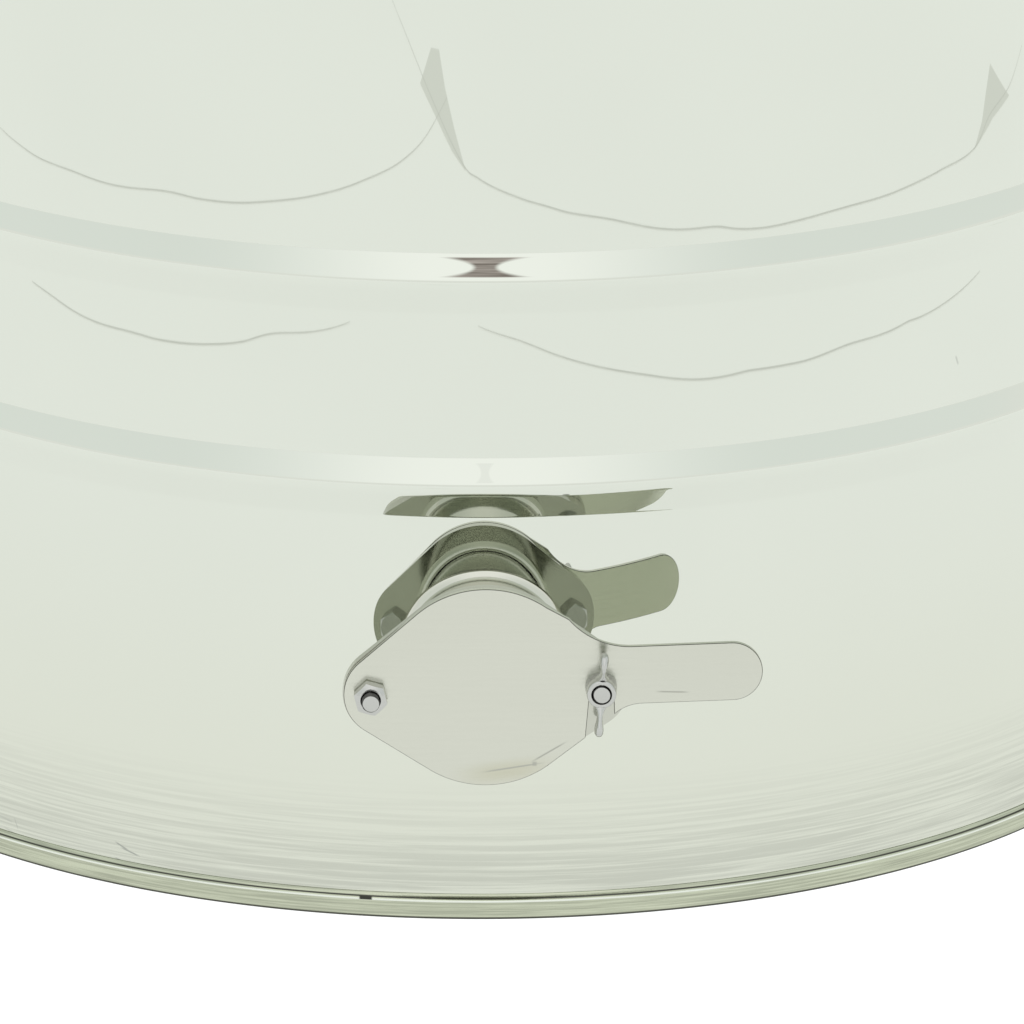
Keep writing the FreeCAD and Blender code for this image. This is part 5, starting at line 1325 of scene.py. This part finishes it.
def hex_body(name, flats, low, high, bore=0.0, chamfer_low=False, chamfer_high=True,
             face=0.96):
    """A hexagon nut or bolt head with turned chamfers.

    face is the round face inside a chamfer, as a share of the flats.  The bore and its
    lead-in are marked for a second finish.
    """
    inner = flats / 2 * face
    lead = bore * 0.12
    slope = math.tan(math.radians(30))
    steps = 96
    bm = bmesh.new()
    rings = []
    for k in range(steps):
        angle = TURN * k / steps
        around = (angle + math.pi / 6) % (math.pi / 3) - math.pi / 6
        hexagon = flats / 2 / math.cos(around)
        drop = (hexagon - inner) * slope
        points = []
        if bore:
            points += [(bore, low + 0.0002), (bore + 0.0002, low)]
        points += [(inner, low), (hexagon, low + drop)] if chamfer_low else [(hexagon, low)]
        points += [(hexagon, high - drop), (inner, high)] if chamfer_high else [(hexagon, high)]
        if bore:
            points += [(bore + lead, high), (bore, high - lead)]
        rings.append([bm.verts.new((r * math.cos(angle), r * math.sin(angle), z))
                      for r, z in points])
    count = len(rings[0])
    for k in range(steps):
        after = (k + 1) % steps
        for j in range(count if bore else count - 1):
            nxt = (j + 1) % count
            bm.faces.new((rings[k][j], rings[after][j], rings[after][nxt], rings[k][nxt]))
    if not bore:
        bm.faces.new([ring[0] for ring in rings][::-1])
        bm.faces.new([ring[-1] for ring in rings])
    for polygon in bm.faces if bore else ():
        polygon.material_index = int(all(vert.co.xy.length < bore + lead + WELDED
                                         for vert in polygon.verts))
    return object_from(name, bm, sharp=20)


def threaded_rod(name, radius, low, high, pitch, thread_from, tip=0.0008):
    """A bolt shank from low to high, threaded above thread_from, with a chamfered tip.

    Its sides are marked for a second finish.
    """
    steps, per_turn = 36, 6
    depth = pitch * 0.5
    thread = high - thread_from
    count = max(1, round(thread / (pitch / per_turn)))
    levels = [low, *(thread_from + thread * k / count for k in range(count + 1))]
    bm = bmesh.new()
    rings = []
    for level in levels:
        ring = []
        for k in range(steps):
            angle = TURN * k / steps
            r = radius
            if level > thread_from:
                phase = ((level - thread_from) / pitch - k / steps) % 1.0
                r -= depth * abs(2 * phase - 1) * min(1, (level - thread_from) / pitch)
            if level > high - tip:
                r = min(r, radius - tip * 0.9 * (level - high + tip) / tip)
            ring.append(bm.verts.new((r * math.cos(angle), r * math.sin(angle), level)))
        rings.append(ring)
    for lower, upper in zip(rings, rings[1:]):
        for k in range(steps):
            after = (k + 1) % steps
            side = bm.faces.new((lower[k], lower[after], upper[after], upper[k]))
            side.material_index = 1
    bm.faces.new(rings[0][::-1])
    bm.faces.new(rings[-1])
    return object_from(name, bm, sharp=50)


def one_mesh(name, *items):
    """Join objects into one and delete the originals."""
    bm = bmesh.new()
    for item in items:
        bm.from_mesh(item.data)
        bpy.data.objects.remove(item)
    return add_object(name, mesh_from(name, bm))


M8 = {"radius": 0.004, "flats": 0.013, "head": 0.0053, "nut_thick": 0.0065, "pitch": 0.00125}
M6 = {"radius": 0.003, "flats": 0.010, "head": 0.004, "nut_thick": 0.005, "pitch": 0.001}


def screw_and_nut(long, nut_top, radius, flats, head, nut_thick, pitch):
    """A hexagon screw with its nut: the head stands on z = 0, the shank hangs below."""
    shank = threaded_rod("Shank", radius, -head * 0.5, long, pitch,
                         max(nut_top - 0.004, 0.002), tip=radius * 0.2)
    return one_mesh(
        "Screw", hex_body("Head", flats, 0, head), place_mesh(shank, rotation(180, "X")),
        hex_body("Nut", flats, -nut_top - nut_thick, -nut_top, bore=radius + GAP,
                 chamfer_low=True))


def stood_on(name, tree, source, spots):
    """Stand a fastener on (place, direction) spots and delete the fastener's source."""
    mesh = bpy.data.meshes.new(name)
    mesh.from_pydata([place for place, _ in spots], [], [])
    direction = mesh.attributes.new("direction", "FLOAT_VECTOR", "POINT")
    for k, (_, along) in enumerate(spots):
        direction.data[k].vector = along
    item = grown(name, mesh, tree, {"Fastener": source, "Finish": FINISHES["bolt"]})
    bpy.data.objects.remove(source)
    return item


PINION_NOSE = 0.025     # the pinion's upper face below the crank's axis
HOUSING_HOLES = [(side * 0.01768, row * 0.01768) for side in (-1, 1) for row in (-1, 1)]


class EXTRACTOR_OT_screws(bpy.types.Operator):
    """Make the screws and nuts of the legs, the crossbar and the crank"""
    bl_idname = "extractor.screws"
    bl_label = "Screws"

    def execute(self, context):
        drum, drive = settings().drum, settings().drive
        tree = fastener_tree()
        face = drum.wall_radius + 0.0251
        angles = sorted({round(math.degrees(math.atan2(y, x)))
                         for x, y, z in loose_centres("leg_bolts")})
        spots = []
        for angle in angles:
            c, s = math.cos(math.radians(angle)), math.sin(math.radians(angle))
            for level in (0.019, 0.049):
                spots.append(((face * c, face * s, drum.rim_height + level), (c, s, 0)))
        legs = stood_on("leg_screws", tree, screw_and_nut(0.0345, 0.0263, **M8), spots)
        finish_piece(legs, "stand", "bolt", "leg_bolts")

        up = (0, 0, 1)
        web = drive.bar_web
        clamp = stood_on("Clamp", tree, screw_and_nut(0.0145, 0.0063, **M8),
                         [((side * 0.235, 0, web + 0.0042), up) for side in (-1, 1)])
        housing = stood_on("Housing", tree, screw_and_nut(0.015, 0.0083, **M6),
                           [((x, y, web + 0.0062), up) for x, y in HOUSING_HOLES])
        brackets = stood_on("Brackets", tree, screw_and_nut(0.014, 0.0073, **M6),
                            [((middle, side * 0.028, web + 0.0052), up)
                             for middle in (0.052, 0.190) for side in (-1, 1)])
        bar = one_mesh("crossbar_screws", clamp, housing, brackets)
        finish_piece(bar, "stand", "bolt", "crossbar_bolts")

        nose = drive.crank_height - PINION_NOSE
        nut = hex_body("pinion_nut_hex", 0.013, nose + LIFT, nose + 0.0066, bore=0.00405)
        finish_piece(nut, "basket", "bolt", "pinion_nut")
        end = drive.arm_place + 0.0081
        nut = hex_body("crank_nut_hex", 0.018, end, end + 0.010, bore=0.00605)
        finish_piece(crosswise(nut, drive.crank_height), "crank", "bolt", "crank_nut")
        return {"FINISHED"}


class EXTRACTOR_OT_stand(bpy.types.Operator):
    """Make the legs, the crossbar, the bearings and the crank's brackets"""
    bl_idname = "extractor.stand"
    bl_label = "Stand"

    def execute(self, context):
        for number in (1, 2, 3, 4):
            dressed(f"leg_{number}", "stand", "frame", 0.0007)
            dressed(f"foot_pad_{number}", "stand", "rubber", 0.0012, 3)
        dressed("crossbar", "stand", "bar", 0.0006)
        for number in (1, 2):
            dressed(f"rim_clamp_{number}", "stand", "frame", 0.0008)
        for side in ("inner", "outer"):
            dressed(f"bracket_{side}", "stand", "alloy", 0.0009, 3)
        self.make_housing()
        self.make_cup()
        return {"FINISHED"}

    def make_housing(self):
        low, high = extent("top_housing")
        seat, bore, round_, turned = high - 0.006, 0.01405, 0.018, 0.032
        housing = lathe("top_housing_cast", joined(
            [(bore, low + 0.0006), (bore + 0.0006, low), (round_ - 0.001, low),
             (round_, low + 0.001), (round_, seat), (turned - 0.0004, seat),
             (turned, seat + 0.0004)],
            arc((turned - 0.0015, high - 0.0015), 0.0015, 0, 90, 5),
            [(0.0205, high), (0.0195, high - 0.0006), (bore + 0.0006, high - 0.0006),
             (bore, high - 0.0012)]), 96)
        holes = [rod(0.0032, seat - 0.01, high + 0.01, x, y, 32) for x, y in HOUSING_HOLES]
        finish_piece(cut_away(housing, *holes), "stand", "alloy", "top_housing")
        self.make_bush("top_bush")

    def make_cup(self):
        low, high = extent("bottom_cup")
        cup = lathe("bottom_cup_turned", joined(
            [(0, low), (0.0276, low), (0.028, low + 0.0004), (0.028, low + 0.0024),
             (0.0274, low + 0.003), (0.0255, low + 0.003)],
            arc((0.0255, low + 0.0045), 0.0015, 270, 180, 6),
            [(0.024, high - 0.001), (0.023, high), (0.01465, high), (0.01405, high - 0.0006),
             (0.01405, low + 0.008), (0, low + 0.008)]), 96, closed=False)
        finish_piece(cup, "stand", "frame", "bottom_cup")
        self.make_bush("bottom_bush")
        low, high = extent("thrust_ball")
        middle, radius = (low + high) / 2, (high - low) / 2
        ball = lathe("thrust_ball_round", arc((0, middle), radius, -90, 90, 24), 48, closed=False)
        finish_piece(ball, "stand", "bolt", "thrust_ball")

    def make_bush(self, node_name):
        low, high = extent(node_name)
        inner, outer, lead = 0.01005, 0.014, 0.0005
        bush = lathe(f"{node_name}_ring", [
            (inner, low + lead), (inner + lead, low), (outer - lead, low), (outer, low + lead),
            (outer, high - lead), (outer - lead, high), (inner + lead, high),
            (inner, high - lead)], 64)
        finish_piece(bush, "stand", "bronze", node_name)


# Stands a flat plate on its edge, square to the X axis.
PLATE_ON_EDGE = Matrix(((0, 0, 1, 0), (1, 0, 0, 0), (0, 1, 0, 0), (0, 0, 0, 1)))


class EXTRACTOR_OT_crank(bpy.types.Operator):
    """Make the crank shaft, its collar, the arm and the grip on its pin"""
    bl_idname = "extractor.crank"
    bl_label = "Crank"

    def execute(self, context):
        drive = settings().drive
        arm, high = drive.arm_place, drive.crank_height
        step = arm - LIFT
        shaft = lathe("crank_shaft_bar", [
            (0, 0.013), (0.0072, 0.013), (0.008, 0.0138), (0.008, step - 0.0004),
            (0.0076, step), (0.006, step), (0.006, step + 0.0192), (0.0052, step + 0.020),
            (0, step + 0.020)], 64, closed=False)
        finish_piece(crosswise(shaft, high), "crank", "crank", "crank_shaft")
        low, end = extent("crank_collar", "x")
        collar = lathe("crank_collar_ring", [
            (0.00805, low + 0.0004), (0.0086, low), (0.0132, low), (0.014, low + 0.0008),
            (0.014, end - 0.0008), (0.0132, end), (0.0086, end), (0.00805, end - 0.0004)], 64)
        finish_piece(crosswise(collar, high), "crank", "crank", "crank_collar")
        self.make_arm(arm, high, drive.arm_length)
        self.make_grip(arm, high - drive.arm_length)
        return {"FINISHED"}

    def make_arm(self, place, high, length):
        hub, tip = 0.018, 0.014
        lean = math.degrees(math.asin((hub - tip) / length))
        arm = prism("crank_arm_plate", joined(
            arc((0, 0), hub, -lean, 180 + lean, 48),
            arc((0, -length), tip, 180 + lean, 360 - lean, 48)), place, place + 0.008)
        cut_away(arm, rod(0.00605, place - 0.01, place + 0.02, segments=48),
                 rod(0.00505, place - 0.01, place + 0.02, 0, -length, 48))
        eased(arm, 0.0011, 4)
        place_mesh(arm, shift(z=high) @ PLATE_ON_EDGE)
        finish_piece(arm, "crank", "crank", "crank_arm")

    def make_grip(self, arm, high):
        inside, end = extent("grip_pin", "x")
        thick, head = 0.005, 0.0085
        foot = arm + 0.0081
        pin = lathe("grip_pin_riveted", joined(
            [(0, inside)], arc((head - 0.002, inside + 0.002), 0.002, -90, 0, 6),
            [(head, inside + 0.005), (thick, inside + 0.005), (thick, foot), (head - 0.0004, foot),
             (head, foot + 0.0004), (head, foot + 0.0026), (head - 0.0004, foot + 0.003),
             (thick, foot + 0.003), (thick, end - 0.004), (head, end - 0.004)],
            arc((head - 0.002, end - 0.002), 0.002, 0, 90, 6), [(0, end)]), 48, closed=False)
        finish_piece(crosswise(pin, high), "crank", "bolt", "grip_pin")

        low, top = extent("crank_grip", "x")
        span, bore = top - low, 0.00505
        profile = [(bore, low + 0.0004), (bore + 0.0004, low)]
        profile += arc((0.0092, low + 0.0018), 0.0018, -90, -10, 6)
        for k in range(41):
            part = 0.03 + 0.94 * k / 40
            swell = 0.011 + 0.0040 * math.sin(math.pi * part) ** 1.3
            ring = 0.0007 * sum(math.exp(-((part - spot) * span / 0.0011) ** 2)
                                for spot in (0.09, 0.13, 0.87, 0.91))
            profile.append((swell - ring, low + span * part))
        profile += arc((0.0092, top - 0.0018), 0.0018, 10, 90, 6)
        profile += [(bore + 0.0004, top), (bore, top - 0.0004)]
        grip = lathe("crank_grip_moulded", joined(profile), 96)
        finish_piece(crosswise(grip, high), "grip", "plastic", "crank_grip")


class EXTRACTOR_OT_basket(bpy.types.Operator):
    """Make the basket: its shaft, plates, pocket sides and screens of crossed rods"""
    bl_idname = "extractor.basket"
    bl_label = "Basket"

    def execute(self, context):
        drive = settings().drive
        low, thread = extent("basket_shaft")
        foot, nose = drive.bar_web + 0.010, drive.crank_height - PINION_NOSE
        shaft = lathe("basket_shaft_bar", [
            (0, low), (0.009, low), (0.010, low + 0.001), (0.010, foot - 0.0005),
            (0.0095, foot), (0.007, foot), (0.007, nose - 0.0004), (0.0066, nose), (0.004, nose),
            (0.004, thread - 0.0006), (0.0034, thread), (0, thread)], 64, closed=False)
        finish_piece(shaft, "basket", "shaft", "basket_shaft")
        for level in ("lower", "upper"):
            dressed(f"basket_plate_{level}", "basket", "basket", 0.0006)
        dressed("pocket_sides", "basket", "basket", 0.0004)
        for node_name, body in (("pinion", "basket"), ("crank_gear", "crank")):
            dressed(node_name, body, "gear", 0.00012, 1)
        self.make_screens(drive)
        return {"FINISHED"}

    def make_screens(self, drive):
        tree = screen_tree()
        low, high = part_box("outer_screen_1")
        edge, bar = 0.010, 0.003
        half, bottom, top = high.y, low.z, high.z
        pieces, nodes = [], []
        for distance, side_name in ((drive.comb_out, "outer"),
                                    (drive.comb_out - drive.comb_depth, "inner")):
            for number in (1, 2, 3, 4):
                turn = 90 * (number - 1)
                nodes.append(f"{side_name}_screen_{number}")
                pieces.append(grown("Rods", bpy.data.meshes.new("Rods"), tree, {
                    "Distance": distance, "Side": math.radians(turn), "Width": half * 2 - edge,
                    "Height": top - bottom - edge, "Low": bottom + edge / 2,
                    "Radius": drive.rod_radius, "Columns": drive.rod_columns,
                    "Rows": drive.rod_rows, "Finish": FINISHES["basket"]}))
                rim = prism("Rim", [(-half, bottom), (half, bottom), (half, top), (-half, top)],
                            -bar / 2, bar / 2)
                window = prism("Tool", [(edge - half, bottom + edge), (half - edge, bottom + edge),
                                        (half - edge, top - edge), (edge - half, top - edge)],
                               -0.01, 0.01)
                eased(cut_away(rim, window), 0.0007, 3)
                pieces.append(place_mesh(
                    rim, rotation(turn, "Z") @ shift(distance) @ PLATE_ON_EDGE))
        screens = one_mesh("comb_screens", *pieces)
        finish_piece(screens, "basket", "basket", *nodes)


class EXTRACTOR_OT_lids(bpy.types.Operator):
    """Make the two clear lids with their knobs and hinges"""
    bl_idname = "extractor.lids"
    bl_label = "Lids"

    def execute(self, context):
        low, high = extent("lid_back")
        edge, straight = 0.257, 0.050
        start = math.degrees(math.asin(straight / edge))
        for side_name, turn, knob_place in (("back", 0, 0.200), ("front", 180, -0.200)):
            body = f"lid_{side_name}"
            lid = prism(f"{body}_sheet", arc((0, 0), edge, start, 180 - start, 160),
                        low, high, sharp=25)
            eased(lid, 0.0009, 3)
            place_mesh(lid, rotation(turn, "Z"))
            finish_piece(lid, body, "acrylic", body)
            seat, top = extent(f"knob_{side_name}")
            ball, neck, foot = 0.013, 0.007, 0.003
            middle = top - ball
            rise = math.degrees(math.acos(neck / ball))
            knob = lathe(f"knob_{side_name}_moulded", joined(
                [(0, seat), (ball - 0.0005, seat), (ball, seat + 0.0005)],
                arc((ball - 0.001, seat + foot - 0.001), 0.001, 0, 90, 5),
                arc((neck + 0.003, seat + foot + 0.003), 0.003, 270, 180, 8),
                arc((0, middle), ball, -rise, 90, 36)), 64, closed=False, sharp=50)
            place_mesh(knob, shift(0, knob_place))
            finish_piece(knob, body, "plastic", f"knob_{side_name}")
            dressed(f"hinge_leaf_{side_name}", body, "bolt", 0.0003)
            dressed(f"hinge_fixed_{side_name}", "stand", "bolt", 0.0003)
        return {"FINISHED"}


class EXTRACTOR_OT_gate_fasteners(bpy.types.Operator):
    """Make the gate's two threaded bolts, the pivot nut and the wing nut"""
    bl_idname = "extractor.gate_fasteners"
    bl_label = "Gate fasteners"

    def execute(self, context):
        gate = settings().gate
        blade_front = gate.flange_stand + gate.flange_thick + LIFT + gate.blade_thick
        head = 0.004
        bolts = []
        for side in (-1, 1):
            bolt = one_mesh(
                "Bolt",
                hex_body("Head", gate.bolt_flats, gate.flange_stand - head, gate.flange_stand,
                         chamfer_low=True, chamfer_high=False),
                threaded_rod("Shank", gate.bolt_radius, gate.flange_stand - head * 0.5,
                             gate.flange_stand + 0.0135, 0.001,
                             gate.flange_stand + gate.flange_thick, tip=0.0002))
            bolts.append(place_mesh(bolt, shift(gate.bolt_reach * side, -gate.bolt_drop)))
        pair = place_mesh(one_mesh("gate_bolt_pair", *bolts), gate_matrix())
        # The threaded sides take the near-black painted shade.
        finish_piece(pair, "stand", "bolt", "gate_bolts", edge="thread")

        nut = hex_body("pivot_nut_hex", gate.bolt_flats, blade_front + LIFT,
                       blade_front + 0.0051, bore=gate.bolt_radius + GAP, chamfer_low=True,
                       face=0.82)
        place_mesh(nut, gate_matrix() @ shift(-gate.bolt_reach, -gate.bolt_drop)
                   @ rotation(12, "Z"))
        # Its bore takes the near-black painted shade.
        finish_piece(nut, "stand", "bolt", "pivot_nut", edge="thread")
        self.make_wing_nut(gate, blade_front + LIFT)
        return {"FINISHED"}

    def make_wing_nut(self, gate, foot):
        """A turned boss with two wings that thin to a stem and swell to a round lobe."""
        boss_radius, boss_high = 0.0053, 0.008
        lobe, reach, lift, root = 0.0043, 0.0103, 0.0078, 0.0033
        nut = lathe("gate_wing_nut", joined(
            [(0, foot), (boss_radius - 0.0003, foot), (boss_radius, foot + 0.0003),
             (boss_radius - 0.0004, foot + boss_high - 0.0009)],
            arc((boss_radius - 0.0012, foot + boss_high - 0.0009), 0.0008, 0, 90, 6),
            [(0, foot + boss_high)]), 64, closed=False, sharp=50)
        stations = ((0.0, 2.6), (0.10, 2.3), (0.20, 1.6), (0.32, 1.05), (0.45, 0.95),
                    (0.58, 1.15), (0.70, 1.45), (0.80, 1.55), (0.88, 1.45), (0.94, 1.15),
                    (0.98, 0.70), (0.998, 0.25))
        for side in (-1, 1):
            sections = []
            for part, thick in stations:
                out = root + (reach + lobe - root) * part
                if out < reach:
                    share = (out - root) / (reach - root)
                    low = 0.001 + (lift - lobe - 0.001) * share
                    high = boss_high - 0.001 + (lift + lobe - boss_high + 0.001) * share
                else:
                    half = math.sqrt(max(lobe ** 2 - (out - reach) ** 2, 0))
                    low, high = lift - half, lift + half
                sections.append([(thick * MM * c, out * side, foot + (low + high) / 2
                                  + (high - low) / 2 * s) for c, s in super_ellipse(20, 2.6)])
            combined(nut, "UNION", [lofted("Wing", sections)])
        bore, lead = gate.bolt_radius + GAP, 0.0007
        top = foot + boss_high
        cut_away(nut, lathe("Tool", [
            (0, foot - 0.01), (bore, foot - 0.01), (bore, top - 0.0005),
            (bore + lead, top + 0.0002), (bore + lead, foot + 0.03), (0, foot + 0.03)],
            48, closed=False))
        # The bore's faces take the near-black painted shade.
        for polygon in nut.data.polygons:
            polygon.material_index = int(polygon.center.xy.length < bore + 0.0003)
        nut.data.set_sharp_from_angle(angle=math.radians(50))
        place_mesh(nut, gate_matrix() @ shift(gate.bolt_reach, -gate.bolt_drop)
                   @ rotation(-6, "Z"))
        finish_piece(nut, "wing_nut", "bolt", "wing_nut", edge="thread")


# ------------------------------------------------------------------ panel and registration

class EXTRACTOR_PT_panel(bpy.types.Panel):
    """Lists the extractor's pieces"""
    bl_label = "Honey Extractor"
    bl_idname = "EXTRACTOR_PT_panel"
    bl_space_type = "VIEW_3D"
    bl_region_type = "UI"
    bl_category = "Honey Extractor"

    def draw(self, context):
        for operator in OPERATORS:
            self.layout.operator(operator.bl_idname)


OPERATORS = (
    EXTRACTOR_OT_stage,
    EXTRACTOR_OT_drum,
    EXTRACTOR_OT_gate,
    EXTRACTOR_OT_blade,
    EXTRACTOR_OT_gate_fasteners,
    EXTRACTOR_OT_screws,
    EXTRACTOR_OT_stand,
    EXTRACTOR_OT_crank,
    EXTRACTOR_OT_basket,
    EXTRACTOR_OT_lids,
)
CLASSES = (DrumSizes, GateSizes, DriveSizes, SteelColours, StageSizes, ExtractorSettings,
           *OPERATORS, EXTRACTOR_PT_panel)


def register():
    for item in CLASSES:
        bpy.utils.register_class(item)
    bpy.types.Scene.honey_extractor = bpy.props.PointerProperty(type=ExtractorSettings)


def unregister():
    del bpy.types.Scene.honey_extractor
    for item in reversed(CLASSES):
        bpy.utils.unregister_class(item)


def main():
    register()
    make_finishes()
    for operator in OPERATORS:
        group, name = operator.bl_idname.split(".")
        getattr(getattr(bpy.ops, group), name)()


if __name__ == "__main__":
    main()
